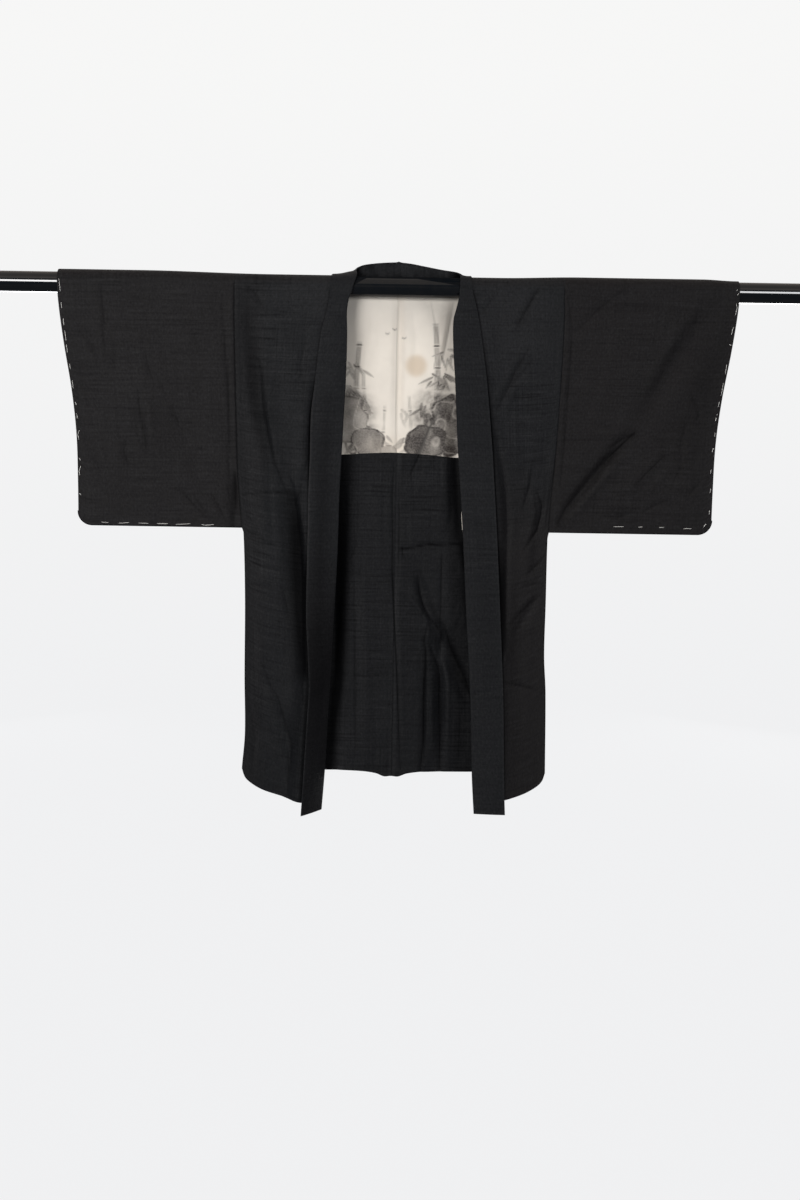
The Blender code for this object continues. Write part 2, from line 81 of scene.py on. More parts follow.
forward = (0.0, math.cos(CAMERA_PITCH), -math.sin(CAMERA_PITCH))
level_up = (0.0, math.sin(CAMERA_PITCH), math.cos(CAMERA_PITCH))
tilt, turn_in = math.cos(CAMERA_ROLL), math.sin(CAMERA_ROLL)
right = (tilt, turn_in * level_up[1], turn_in * level_up[2])
up = (-turn_in, tilt * level_up[1], tilt * level_up[2])
axes = Matrix((right, up, [-part for part in forward])).transposed()
bpy.ops.object.camera_add(location=CAMERA_PLACE, rotation=axes.to_euler())
camera = bpy.context.object
camera.data.sensor_fit = "VERTICAL"
camera.data.sensor_height = SENSOR
camera.data.sensor_width = SENSOR
camera.data.lens = SENSOR * PICTURE_DISTANCE / PICTURE_HEIGHT
bpy.context.scene.camera = camera
print(f"camera with a {camera.data.lens:.1f} mm lens")

# %% [markdown]
# ## Small tools
# Everything about the cloth is worked out with arrays, so one line moves thousands of points.
# `ramp` and `hump` switch things on and off softly. `read` follows a short table along a smooth
# curve, which is how a pattern cutter fairs a line through a few measured points. The longer
# tables are written as text, a row to a line, and two functions turn them into numbers.

# %% Reading tables and easing
def smooth(t):
    """0 below t = 0, 1 above t = 1, and an even curve between them."""
    t = np.clip(t, 0.0, 1.0)
    return t * t * (3 - 2 * t)


def mix(a, b, t):
    return a + (b - a) * t


def ramp(value, start, length):
    """0 up to a start, then an even rise to 1 over a length. Both are in mm."""
    return smooth((value - start * MM) / (length * MM))


def bell(value, width, power=2):
    """1 where the value is 0, falling away evenly on both sides. A high power makes a flat top."""
    return np.exp(-((value / width) ** power))


def hump(value, width):
    """A bell with its width in mm."""
    return bell(value, width * MM)


def placed(side, x, y, drop):
    """Points in space, from how far they are to their side, how far back and how far down."""
    return np.stack(np.broadcast_arrays(SIDES[side] * x, y, -drop), axis=-1)


def grid_of(across, along):
    """Every pair of an across and an along, as rows by columns."""
    return np.stack(np.broadcast_arrays(across[None, :], along[:, None]), axis=-1)


def distances(path):
    """How far along a path each of its points is."""
    return np.concatenate([[0], np.cumsum(np.linalg.norm(np.diff(path, axis=0), axis=1))])


def curve(a, b, leaving, arriving, t):
    """From a to b, leaving the one and arriving at the other with given slopes."""
    bent = t * (1 - t) * ((1 - t) * (leaving - (b - a)) - t * (arriving - (b - a)))
    return mix(a, b, t) + bent


def number_table(text):
    """Rows of numbers, one to a line of text."""
    return [tuple(map(float, row.split())) for row in text.strip().splitlines()]


def path_table(text):
    """Paths in mm, as pairs of x,drop with a / between one path and the next."""
    return [[tuple(map(float, pair.split(","))) for pair in path.split()] for path in text.split("/")]


def read(table, at, column=1):
    """A column of a table in mm, in metres, on a smooth curve through the table's rows."""
    rows = np.array([(row[0], row[column]) for row in table], float)
    places, values = rows[:, 0], rows[:, 1]
    order = np.arange(len(rows))
    low, high = np.maximum(order - 1, 0), np.minimum(order + 1, len(rows) - 1)
    slopes = (values[high] - values[low]) / (places[high] - places[low])
    at = np.clip(np.asarray(at, float) / MM, places[0], places[-1])
    i = np.clip(np.searchsorted(places, at, side="right") - 1, 0, len(rows) - 2)
    span = places[i + 1] - places[i]
    t = (at - places[i]) / span
    return curve(values[i], values[i + 1], slopes[i] * span, slopes[i + 1] * span, t) * MM


# %% [markdown]
# ## The cut
# These are the sizes of the jacket as it hangs, in millimetres: how far each edge is from the
# middle at each drop below the rod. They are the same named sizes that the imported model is
# built from, so that each finer sheet lies where its solid does.

# %% Sizes of the jacket
ROD_RADIUS = 19 * MM
WALL = 1.6 * MM
LINING_WALL = 1.0 * MM
SEAM = 0.06 * MM
LAYER = 0.5 * MM
SLEEVE_DROP = 453 * MM
SLEEVE_CORNER = 26 * MM
COLLAR_DROP = {"left": 1001 * MM, "right": 996 * MM}
NECK_DROP = 13.5 * MM
EDGE = 1.0 * MM
NECKLINE = NECK_DROP + EDGE
CLOTH_WALL = 1.15 * MM
FRONT_RADIUS = ROD_RADIUS + 0.2 * MM + CLOTH_WALL / 2
BACK_RADIUS = FRONT_RADIUS + LINING_WALL + 1.2 * MM
PINCH = WALL / 2 + 0.35 * MM
UNDERARM = 440 * MM

SLEEVE_END = [(-22, 636), (35, 634), (113, 626), (200, 614), (285, 606), (380, 604), (480, 604)]
SLEEVE_SEAM = {
    "left": [(-22, 306), (70, 306), (270, 302), (360, 299), (440, 293), (480, 290)],
    "right": [(-22, 309), (70, 311), (270, 305), (360, 299), (440, 294), (480, 294)],
}
BODY_SIDE = {
    "left": [(440, 293), (453, 292.2), (464, 288.5), (590, 284), (740, 283), (845, 281), (914, 286)],
    "right": [(440, 294), (455, 294), (466, 292), (590, 291), (690, 290), (760, 294), (922, 296)],
}
# Drop, the collar's outer edge, its inner fold, how far it stands forward, how far it turns back.
OUTER, INNER, FORWARD, TURNED = 1, 2, 3, 4
COLLAR_RUN = {
    "left": number_table("""
0 127 84.5 0 0
12 127 88 0 0
28 129 94 0 0
50 133 96.5 0 0
90 143 95.5 1 0
177 153 97 2 0
243 160 100 3 0
312 161 103 4 0
381 163 106 5 0
475 164 108 6 2
548 165 111 8 10
625 166 116 12 26
700 163 120 16 40
758 161 123 18 46
816 164 126 19 46
911 169 130 20 46
1010 175 137 20 48
"""),
    "right": number_table("""
0 136 116 0 0
16 140 115 0 0
34 145 111.5 0 0
62 151 105 1 0
110 159 105.5 1 0
172 168 110 2 0
290 180 117 3 0
377 187 124 4 0
470 194 131 6 0
600 202 139 10 3
770 212 151 10 6
920 217 157 8 6
1010 221 163 8 4
"""),
}
# Turn over the rod, drop, seam, the fold's x, y, z, the free edge's x, y, z, and how far the
# outer layer sags towards the rod between them (a negative sag stands out from it).
NECK = {
    "left": number_table("""
180 13.5 0 0 22.6 49.5 0 31 -14 0
180 13.5 24 23 22.6 48.5 24 31 -14 0
180 13.5 48 46 22.4 46.5 49 31 -14 0
180 13.5 76 66 20.5 43 80 31 -13 0
180 11 96 76 16 37.5 100 30 -10 -2
180 1 108 80 8 31.5 113 27.5 2 -5
135 0 112 80 0 27.5 118 16.5 16.5 -4
90 0 117 79 -8 23.5 122 0 22.6 0
45 0 120 80 -17 14.5 126 -15.6 15.6 1
0 0 120.5 84.5 -21.6 0 127.5 -22 -1 0
"""),
    "right": number_table("""
180 13.5 0 0 22.6 49.5 0 31 -14 0
180 13.5 24 24 22.6 47 24 31 -14 0
180 13.5 50 49 22.4 42.5 51 31 -14 0
180 13.5 84 79 21 36.8 88 31 -13 0
180 11 107 97 17 33.3 111 30 -10 0.5
180 1 121 108 9 29.5 126 27.5 2 1
135 0 126 114 1 25.5 131 16.5 16.5 2
90 0 129.5 116 -8 22 134 0 22.6 1
45 0 130 116 -16.5 15 137 -15.6 15.6 0
0 0 129.5 116 -21.8 0 137 -22 -1 0
"""),
}
COLLAR_OVERLAP = 6 * MM
COLLAR_LAYERS = 1.9 * MM
FRONT_HEM_AT, BACK_HEM_AT = 940 * MM, 930 * MM
FRONT_HEM = [(0, 915), (5, 930), (16, 942), (40, 956), (75, 967), (114, 976), (180, 978)]
BACK_HEM = [(0, 939), (14, 940), (30, 934), (60, 930), (160, 928), (300, 924)]
FRONT_HANG = [(0, 19.8), (60, 20.4), (200, 21), (500, 23), (750, 25), (1010, 27)]
BACK_HANG = [(0, 22), (300, 24), (600, 25), (1010, 28)]
SIDE_HANG = [(0, 19.8), (120, 15.3), (300, 7.3), (440, 1.7), (462, 2.4), (550, 8), (750, 20)]
SIDE_HANG += [(1010, 34)]
SIDE_EASE = 130 * MM
LEFT_GAP, RIGHT_GAP = 3.8 * MM, 3.2 * MM
HAND_OPENING = 265 * MM
END_EASE = 70 * MM
print("sleeve", SLEEVE_DROP, "m deep; collar", COLLAR_DROP)

# %% [markdown]
# ## Folds
# A hanging cloth shows broad soft folds and, over them, narrower creases where it was folded
# away in a drawer or pulled at a seam. Both are ridges along a path: a path, a half width on
# each side, and a rise. A small half width on one side and a large one on the other gives the
# leaning shape of a real drag fold. A negative rise is a valley. The bottom of a sharp crease also
# gets a thin line of painted shade, where the cloth touches itself, and broad hollows get a soft
# painted shade.

# %% Broad folds and finer creases, in mm
# A broad fold's two ends, each as x and drop, then its width and its rise.
FRONT_FOLDS = number_table("""
-238 300 -222 520 16 5
-240 745 -200 940 12 4
236 150 200 232 10 3
262 400 250 540 12 4
280 570 238 640 9 -4
""")
BACK_FOLDS = number_table("""
-118 330 -108 920 12 9
30 500 80 640 12 7
80 640 150 790 13 9
66 620 70 920 7 -6
90 640 94 920 8 6
-55 560 -48 910 14 -4
112 250 124 470 12 7
-220 480 -205 900 20 5
205 500 225 880 18 5
""")
SLEEVE_FOLDS = number_table("""
440 262 322 420 11 -6
425 312 330 430 9 3
590 30 464 235 26 -5
505 305 440 372 12 3
-470 225 -452 330 16 2.5
-420 230 -345 400 22 -3
-555 5 -550 160 10 2.5
-590 240 -520 420 22 3
""")
# Left and right are a crease's half widths on either side of its path. Its line is how dark the
# painted shade along its bottom is, from 0 to 1.
Crease = namedtuple("Crease", "rise left right path line")


def crease_table(text):
    """Creases, one to a line of text: rise, left, right, line, and then the path."""
    creases = []
    for row in text.strip().splitlines():
        rise, left, right, line, path = row.split(maxsplit=4)
        creases.append(Crease(float(rise), float(left), float(right), path_table(path)[0], float(line)))
    return creases


FRONT_CREASES = crease_table("""
-13 32 5 0  -196,372 -184,437 -177,490 -174,560 -172,640 -170,740
-2.8 3 6 0.6  -262,135 -254,160 -252,200 -248,241 -240,285 -230,326 -205,388
1.8 6 10 0  -246,180 -239,260 -226,320 -206,372
-6 7 4 0.5  -153,180 -158,218 -160,260 -162,340
-2.5 7 8 0.3  -166,320 -172,350 -180,380 -188,410
-1.8 4 5 0.35  -281,4 -265,19 -252,43
-1.6 5 6 0.25  -172,56 -174,109 -182,150 -173,195
-2.4 11 12 0  -285,25 -282,62 -276,111 -273,165 -267,220 -256,274 -242,335
-0.8 2.6 2.6 0.3  -287,152 -259,154 -221,152
-0.8 2.6 2.6 0.3  -262,177 -220,179 -176,184
-1.5 2.6 3 0.55  -288,391 -251,388 -206,386 -166,390
-0.8 2.6 2.6 0.3  -270,486 -217,485
-0.9 2.6 3 0.3  -276,522 -247,528 -217,535
-1.6 4 5 0.35  -280,462 -261,470 -248,480
1.2 5 5 0  -276,476 -258,486 -244,500
-1.2 4 4 0.25  -283,430 -264,454
-1.8 5 6 0.3  -216,560 -205,597 -200,625
-2.4 6 9 0.4  -247,719 -234,753 -217,782 -204,825 -190,867 -192,920
-1.8 6 7 0.3  -212,800 -193,874 -198,940
-1.2 4 4 0.25  -272,562 -248,566 -226,573
1.2 8 8 0  -262,620 -250,690 -256,760
-1.6 6 7 0.3  -200,870 -196,915 -198,960
-1.5 5 6 0.2  -270,800 -262,860 -268,930
-2.8 5 6 0.5  260,3 249,21 234,48 223,68
-2 4 5 0.4  246,110 223,149 207,187 187,226
-1.4 4 4 0.35  254,129 236,153 215,179
1.3 5 5 0  234,112 214,146 198,182 182,212
-1.5 4 5 0.35  179,12 170,28 157,49
-2 3 4 0.55  257,326 254,366 242,410
-3.4 3.5 5 0.9  269,378 279,404 277,426 271,450 246,487
1.6 5 4 0  260,384 266,418 259,444
-1.2 2.6 2.6 0.45  297,340 291,405 286,450
-7 16 6 0.12  176,200 184,258 191,291 202,333 210,383 214,447 214,510 214,600 213,680
-0.8 2.6 2.6 0.3  246,281 293,285
-1.8 3 4 0.55  286,501 271,518 252,535
-1.2 2.6 3.5 0.4  284,572 253,597 222,630
0.7 5 5 0  272,568 248,588 228,608
-1.5 2.6 2.8 0.55  216,740 244,747 276,755
-1 2.6 3 0.45  244,558 262,553 284,551
-1.8 10 7 0.1  216,690 218,740 221,810 224,920
1.2 10 12 0  262,640 256,760 262,880
""")
BACK_CREASES = crease_table("""
1.5 2.6 3 0.8  -4,330 -6,385 -4,469 -4,537 0,596 5,681 10,767 14,854 18,925
1 2.6 2.6 0.45  6,340 8,430 8,500 6,560
-1.2 4 5 0  15,469 14,553 13,639 17,724 21,810 25,905
2.2 2.6 3 0.85  10,492 16,491 36,488 66,482 100,482 132,479
1.8 2.6 2.6 0.7  15,486 15,496 18,508
4.5 4 6 0.9  46,542 50,576 56,598 65,616 73,629 86,643
3 3.5 3.5 0.7  80,634 93,656 93,690
-3.2 5 4 0  10,562 30,584 52,609 68,634
2.2 3.5 3.5 0.55  92,500 91,547 92,590 91,640
4.6 6 8 0.7  100,640 111,677 123,706 138,735 156,780
5 4 5 0.8  66,634 60,671 63,690 63,722 61,795 62,869 57,930
4.2 4 5 0.85  68,672 81,703 90,724 92,758 94,832 96,925
-3.2 5 5 0  75,700 77,760 79,905
-3.4 5 6 0  95,676 102,721 109,758 110,830 112,905
2.8 3.5 4 0.8  86,212 78,231 64,257 45,308 28,348
1.4 3 3 0.4  104,24 96,75 88,119 72,168
-1.6 4 4 0  96,26 88,75 80,119 66,162
1 4 4 0.25  62,24 73,76 82,110
-1.2 3 4 0  7,19 8,70 8,142 7,300
-1.4 6 6 0  70,300 56,340 44,390
1.8 3 3 0.45  -77,562 -74,683 -72,780 -71,905
1.2 2.6 2.6 0.4  -84,540 -40,542 8,543
1.6 4 4 0.35  -78,456 -74,482 -84,513 -78,530
0.9 2.6 2.6 0.3  -88,372 -50,370 -12,373
0.9 2.6 2.6 0.3  10,418 60,415 108,419
0.9 2.6 2.6 0.3  -84,664 -40,668 2,666
0.9 2.6 2.6 0.35  -90,742 -30,738 30,741
-1.4 8 9 0  -30,330 -34,420 -28,520
1.4 5 9 0  24,30 34,90 30,170
1.2 6 5 0  -60,24 -50,70 -56,120
1.5 5 6 0  102,330 108,400 104,470
-2.4 6 9 0  -250,60 -238,180 -246,300
-2 7 9 0.2  -200,120 -176,260 -184,420 -170,560
-2.6 5 8 0.35  236,90 214,210 226,340
-2.2 8 10 0.2  180,260 168,420 176,600 166,780
-1.8 3 5 0.4  -270,500 -236,560 -214,640
-2 4 6 0.4  276,486 246,540 226,610
-1.2 2.6 2.6 0.4  -270,742 -180,738 -120,744
-1.2 2.6 2.6 0.4  132,748 200,742 278,750
""")
SLEEVE_CREASES = crease_table("""
-1.7 5 7 0.35  -554,-1 -551,53 -550,112 -549,150
-1.5 4 5 0.4  -472,128 -467,156 -459,182
-2 4 5 0.5  -486,200 -485,233 -481,260 -475,287 -472,316 -456,323
-1.1 3 4 0.25  -493,228 -490,278 -476,320
1 6 7 0  -470,200 -466,250 -460,296
-1.5 4 5 0.4  -511,290 -515,315 -506,344
-1.5 4 4 0.4  -421,226 -423,243 -414,250 -411,268
-1.1 4 4 0.3  -530,126 -531,166
-1.1 4 4 0.3  -447,174 -436,209
-1.6 7 8 0.2  -614,55 -592,95 -556,161
-1.8 4 5 0.45  -425,382 -405,388 -386,410 -357,440
-2.2 4 5 0.5  -350,392 -335,418 -320,446
-1.4 4 4 0.35  -383,395 -368,418 -347,444
-1.2 2.6 3 0.5  -330,20 -325,95 -318,185 -315,276 -319,420
-4 7 5 0.5  -305,348 -306,400 -308,452
1 9 10 0  -395,60 -388,150 -398,240
-1.2 8 8 0  -540,210 -548,300 -536,380
-0.8 3 3 0.3  -388,311 -357,307
-3.6 5 8 0.9  450,264 427,286 399,315 380,339 347,379 324,408 309,440
-1.8 4 4 0.55  452,265 431,274 401,294
1.6 6 7 0  424,306 392,332 362,366 336,402
-2.8 14 18 0  588,14 563,45 536,88 513,136 486,189 468,227 448,260
1.6 12 14 0  560,20 516,96 484,150 452,196
-2.2 8 10 0.3  434,-8 399,15 371,39 330,80
-1.9 6 7 0.5  510,304 486,328 456,360
1.2 7 8 0  520,330 496,356 470,380
-1.6 6 6 0.4  546,238 538,284 538,332 525,360
-1.3 4 5 0.3  552,192 569,216 571,250
-1.6 4 4 0.4  450,414 415,427
-1.6 5 5 0.4  525,387 499,396 470,414
-1.4 5 5 0.35  580,352 554,383
-1.3 2.6 3 0.5  315,16 324,68 325,153 319,230 318,297 312,370
-0.9 6 6 0  330,36 433,33 550,36
-0.8 3 3 0.3  312,279 378,277 410,276
1.2 9 10 0  400,120 386,200 372,262
""")
SLEEVE_HEM = crease_table("""
-0.9 1.8 1.8 0  -597,424 -507,424 -460,428 -331,426
-0.6 1.8 1.8 0  595,421 470,421 330,424
""")
# Broad soft painted shade, as paths again: here the rise is how dark the painted shade is, from 0 to 1.
FRONT_SHADES = crease_table("""
1.2 22 14 0  -192,400 -186,440 -183,480 -179,536 -175,592 -171,660 -168,720
0.3 9 12 0  -170,620 -168,780 -168,1000
0.18 26 22 0  -256,130 -240,215 -214,307 -192,391 -186,450
0.2 6 7 0  -160,200 -168,306 -158,400
0.5 11 16 0  -285,10 -276,111 -270,200 -256,274 -242,345
0.6 8 5 0  -155,175 -159,245 -163,370
0.36 8 10 0  160,120 171,190 182,258 188,300 198,350 207,410 210,470
0.85 14 7 0  206,490 207,530 208,590 210,650 211,685
0.16 12 12 0  213,650 216,780 222,1000
0.25 8 8 0  262,0 245,29 231,59 218,80
0.25 8 8 0  242,120 225,150 207,187 190,220
""")
BACK_SHADES = crease_table("""
0.8 30 9 0  -97,300 -97,410 -95,540 -96,651 -101,747 -114,834 -122,980
0.7 8 20 0  112,300 116,363 121,420 126,470 138,520
0.6 5 12 0  130,480 135,540 142,640
0.28 8 20 0  -104,600 -110,740 -120,860 -126,990
0.3 5 6 0  56,580 76,609 92,636 112,700
0.4 4 5 0  110,702 132,745 152,774 160,790
0.3 9 9 0  62,650 63,760 60,960
0.3 7 7 0  90,720 93,800 95,960
0.45 10 12 0  106,650 119,690 134,725 156,775
0.25 10 14 0  120,770 124,850 124,980
""")
LINING_SHADES = crease_table("""
0.16 30 34 0  -92,0 -88,60 -84,150 -92,210
0.1 26 26 0  -70,10 -62,90 -66,180
0.24 18 30 0  92,-20 96,60 98,120
0.14 20 20 0  40,14 64,40 84,84 92,120
0.12 6 6 0  -5,10 -6,160 -5,320
0.4 1.2 1 0  -1.4,10 -1.5,160 -1.4,320
0.7 2.6 2.8 0  68,250 58,272 45,308 36,332
""")
SLEEVE_SHADES = crease_table("""
0.5 7 5 0  -304,352 -306,400 -309,430 -311,470
0.14 14 16 0  592,5 563,45 513,136 468,227 448,262
0.16 34 34 0  610,60 585,130 560,200 515,280
0.52 6 11 0  445,268 399,317 347,381 310,440
0.15 6 6 0  325,36 433,33 555,36
""")


# %% How high the folds stand at any point of the cloth
def folded(folds, x, drop):
    """How high the broad folds stand."""
    total = np.zeros(np.broadcast(x, drop).shape)
    for x0, d0, x1, d1, width, rise in folds:
        from_x, from_d = x - x0 * MM, drop - d0 * MM
        run_x, run_d = x1 * MM - x0 * MM, d1 * MM - d0 * MM
        along = np.clip((from_x * run_x + from_d * run_d) / (run_x**2 + run_d**2), 0.0, 1.0)
        off = np.hypot(from_x - along * run_x, from_d - along * run_d) / (width * MM)
        tall = rise * MM * (0.3 + 0.7 * np.sin(math.pi * along)) * np.exp(-off * off)
        total += np.where(off < 3, tall, 0.0)
    return total


def creased(creases, x, drop, taper=0.7):
    """How high the creases stand. A low taper keeps a crease at full height closer to its ends."""
    x, drop = np.broadcast_arrays(np.asarray(x, float), np.asarray(drop, float))
    total = np.zeros(x.shape)
    for crease in creases:
        path = np.array(crease.path, float) * MM
        reach = 3 * MM * max(crease.left, crease.right)
        low, high = path.min(axis=0) - reach, path.max(axis=0) + reach
        inside = (x > low[0]) & (x < high[0]) & (drop > low[1]) & (drop < high[1])
        if not inside.any():
            continue
        px, pd = x[inside], drop[inside]
        runs = np.diff(path, axis=0)
        lengths = np.hypot(runs[:, 0], runs[:, 1])
        before = np.cumsum(lengths) - lengths
        nearest, along, width = np.full(px.shape, np.inf), np.zeros(px.shape), np.ones(px.shape)
        for (x0, d0), (run_x, run_d), length, passed in zip(path, runs, lengths, before):
            t = np.clip(((px - x0) * run_x + (pd - d0) * run_d) / length**2, 0.0, 1.0)
            off_x, off_d = px - x0 - t * run_x, pd - d0 - t * run_d
            off = np.hypot(off_x, off_d)
            closer = off < nearest
            on_right = run_x * off_d - run_d * off_x < 0
            nearest = np.where(closer, off, nearest)
            along = np.where(closer, (passed + t * length) / lengths.sum(), along)
            width = np.where(closer, np.where(on_right, crease.right, crease.left) * MM, width)
        tall = crease.rise * MM * np.sin(math.pi * np.clip(along, 0.04, 0.96)) ** taper
        total[inside] += tall * bell(nearest, width, 1.4 if crease.line else 2.0)
    return total


LINE_WIDTH = 1.8  # mm
LINE_TAPER, LINE_MOST = 0.35, 0.9


def shaded(creases, shades, x, drop):
    """How much shade is painted on the cloth, from 0 to 1: thin lines at the bottoms of creases, and
    soft shade.
    """
    lined = [crease for crease in creases if crease.line]
    lines = [Crease(crease.line, LINE_WIDTH, LINE_WIDTH, crease.path, 0) for crease in lined]
    thin = np.minimum(creased(lines, x, drop, LINE_TAPER) / MM, LINE_MOST)
    return thin + creased(shades, x, drop, LINE_TAPER) / MM


def uneven(x, drop, wide, long, seed):
    """Random bumps between -1 and 1, of a given width and length in mm."""
    lattice = np.random.default_rng(seed).uniform(-1, 1, (64, 64))
    across = (0.97 * x + 0.24 * drop) / MM / wide + 40.3
    down = (0.97 * drop - 0.24 * x) / MM / long + 40.7
    i, j = np.floor(across).astype(int), np.floor(down).astype(int)
    s, t = smooth(across - i), smooth(down - j)
    corner = lambda a, b: lattice[(i + a) % 64, (j + b) % 64]
    return mix(mix(corner(0, 0), corner(1, 0), s), mix(corner(0, 1), corner(1, 1), s), t)


def drift(x, drop, phase):
    """The slight unevenness of soft silk, a fraction of a millimetre."""
    x, drop = x / MM, drop / MM
    wide = np.sin(x / 19.0 + 1.7 * np.sin(drop / 61.0 + phase)) * np.sin(drop / 83.0 + 2.1 * phase)
    long = np.sin(x / 9.3 + drop / 47.0 + phase) * np.sin(drop / 29.0 - x / 71.0 + 1.3)
    return (0.4 * wide + 0.12 * long) * MM


def crumpled(x, drop, seed):
    """Short shallow crumples, like cloth that was folded away for years."""
    broad = 0.5 * uneven(x, drop, 52, 80, seed)
    ridges = 0.4 * np.abs(uneven(x, drop, 17, 29, seed + 1)) * (1 + uneven(x, drop, 70, 60, seed + 2))
    fine = 0.13 * uneven(x, drop, 8, 12, seed + 3) + 0.09 * uneven(x, drop, 6, 60, seed + 4)
    return (broad - ridges + fine) * MM


print(len(FRONT_CREASES) + len(BACK_CREASES) + len(SLEEVE_CREASES), "creases")


# %% [markdown]
# ## Where the cloth hangs
# A few functions answer one question: where is the cloth at this distance from the middle and
# this drop below the rod? Every sheet asks the same functions, so sheets that are sewn together
# meet, and a layer inside another keeps its distance.

# %% The fronts, the back and the rod
# How dark the painted shades are on each side, from 0 to 1: at the top of a sleeve's seam, beside
# the collar and how much of that is lost lower down, inside the back, and towards the fronts' hems.
SEAM_SHADE, SEAM_SHADE_LOW = {"left": 0.42, "right": 0.12}, 0.5
CONTACT_SHADE, CONTACT_LOST = {"left": 0.5, "right": 0.8}, {"left": 0.0, "right": 0.45}
BACK_SHADE = {"left": 0.08, "right": 0.15}
LOW_SHADE = 0.13


def collar_at(side, drop, column=OUTER):
    return read(COLLAR_RUN[side], drop, column)


def front_edge(side, drop):
    return collar_at(side, drop) - COLLAR_OVERLAP


def body_side(side, drop):
    return np.where(drop > UNDERARM, read(BODY_SIDE[side], drop), read(SLEEVE_SEAM[side], drop))


def seam_dip(distance):
    """The narrow groove that a seam pulls into the cloth, and the ridge of its turnings beside it."""
    ridge = 0.5 * MM * ramp(distance, 0, 2) * (1 - ramp(distance, 8, 2.5))
    return -0.9 * MM * hump(distance, 1.5) + ridge


def front_depth(side, x, drop):
    """How far a front hangs in front of the middle plane."""
    x = np.abs(x)
    inward = body_side(side, drop) - x
    depth = mix(read(SIDE_HANG, drop), read(FRONT_HANG, drop), smooth(inward / SIDE_EASE))
    beside = x - collar_at(side, drop)
    depth = depth + collar_at(side, drop, FORWARD) * hump(beside, 24)
    broad = folded(FRONT_FOLDS, SIDES[side] * x, drop)
    depth = depth + ramp(inward, 0, 30) * ramp(drop, 0, 40) * broad
    # Near the collar a crease may only sink, so that the collar stays on top.
    fine = creased(FRONT_CREASES, SIDES[side] * x, drop) + drift(x, drop, 1.0 + SIDES[side])
    fine = fine + 0.9 * crumpled(x, drop, 30 + SIDES[side] * 10)
    fine = fine * np.where(fine > 0, ramp(beside, 4, 18), ramp(beside, 0, 2.5))
    return depth + ramp(inward, 0, 14) * ramp(drop, 0, 14) * fine


def back_depth(side, x, drop):
    """How far the back hangs behind the middle plane."""
    x = np.abs(x)
    inward = body_side(side, drop) - x
    at_side = read(SIDE_HANG, drop) + (BACK_RADIUS - FRONT_RADIUS) * smooth(1 - drop / (60 * MM))
    depth = mix(at_side, read(BACK_HANG, drop), smooth(inward / SIDE_EASE))
    broad = folded(BACK_FOLDS, SIDES[side] * x, drop)
    depth = depth + ramp(inward, 0, 30) * ramp(drop, 0, 40) * broad
    each = drift(x, drop, 4.0 + SIDES[side]) + crumpled(x, drop, 60 + SIDES[side] * 10)
    fine = creased(BACK_CREASES, SIDES[side] * x, drop) + each * ramp(x, 0, 10)
    return depth + smooth((drop - NECKLINE) / (20 * MM)) * (fine * ramp(inward, 0, 14))


def seam_shade(side, distance, drop):
    """Painted shade in a dark line along a sleeve's seam."""
    return mix(SEAM_SHADE[side], SEAM_SHADE_LOW, ramp(drop, 220, 120)) * hump(distance, 1.8)


def front_shade(side, x, drop):
    """The painted shade on a front: its creases and shades, its seam, a line under the collar's edge,
    and more towards the hem.
    """
    x = np.abs(x)
    beside, inward = x - collar_at(side, drop), body_side(side, drop) - x
    total = shaded(FRONT_CREASES, FRONT_SHADES, SIDES[side] * x, drop)
    contact = CONTACT_SHADE[side] - CONTACT_LOST[side] * ramp(drop, 640, 140)
    total = total + contact * ramp(drop, 0, 12) * hump(beside, 3.2)
    total = total + LOW_SHADE * ramp(drop, 430, 250)
    return np.clip(total + seam_shade(side, inward, drop), 0, 1)


# Painted shade inside the back: its creases and soft shades, and an even share more on each side.
def back_shade(side, x, drop):
    total = shaded(BACK_CREASES, BACK_SHADES, SIDES[side] * np.abs(x), drop)
    return np.clip(total + BACK_SHADE[side], 0, 1)


def rod_radius(turn):
    return mix(FRONT_RADIUS, BACK_RADIUS, smooth((turn - 90) / 90))


def over_rod(x, turn):
    angle = np.radians(turn)
    x, angle = np.broadcast_arrays(x, angle)
    radius = rod_radius(np.degrees(angle))
    # The sleeves stand a little off the rod; the right one comes down to it at its end.
    left_gap = LEFT_GAP * ramp(-x, 240, 240)
    right_gap = RIGHT_GAP * ramp(x, 190, 150) * (1 - 0.75 * ramp(x, 570, 60))
    radius = radius + (left_gap + right_gap) * np.sin(angle)
    return np.stack([x, -radius * np.cos(angle), radius * np.sin(angle)], axis=-1)


def spaced(length, pitch, fine_start=False, fine_end=False):
    """Shares from 0 to 1 along a length, closer together near the ends that are marked fine."""
    close = np.array([0.7, 1.4, 2.2, 3.2, 4.6, 6.4, 8.2, 9.6, 11.0]) * MM
    start, end = (close[-1] if fine_start else 0.0), (length - close[-1] if fine_end else length)
    even = np.linspace(start, end, max(int(round((end - start) / pitch)), 1) + 1)
    near_ends = [close] * fine_start + [length - close] * fine_end
    return np.unique(np.round(np.concatenate([[0.0, length], even, *near_ends]) / length, 7))


# %% [markdown]
# ## One way to make every sheet
# A sheet starts as a flat grid primitive. Its points are then laid in place from an array, the
# cells that the cut leaves out are selected and deleted, and Solidify gives it the thickness of
# the cloth. A UV map holds each point's place on the flat bolt in metres, so that the weave keeps
# its size and follows the thread, however the cloth hangs.

# %% The sheet maker
# How plainly the slubs show on each kind: they differ with how the cloth catches the light.
SLUB = {"sleeve_cloth": 0.42, "collar_cloth": 0.5}
# Where on the bolt a left and a right piece of each kind start, in metres.
BOLT_START = {
    "body_cloth": (0.0, 3.1),
    "sleeve_cloth": (1.3, 4.7),
    "gusset_cloth": (7.0, 7.0),
    "collar_cloth": (9.0, 11.3),
    "turn_up_cloth": (13.0, 15.6),
    "lining_silk": (13.0, 15.6),
    "lining_silk_front": (17.0, 17.0),
}


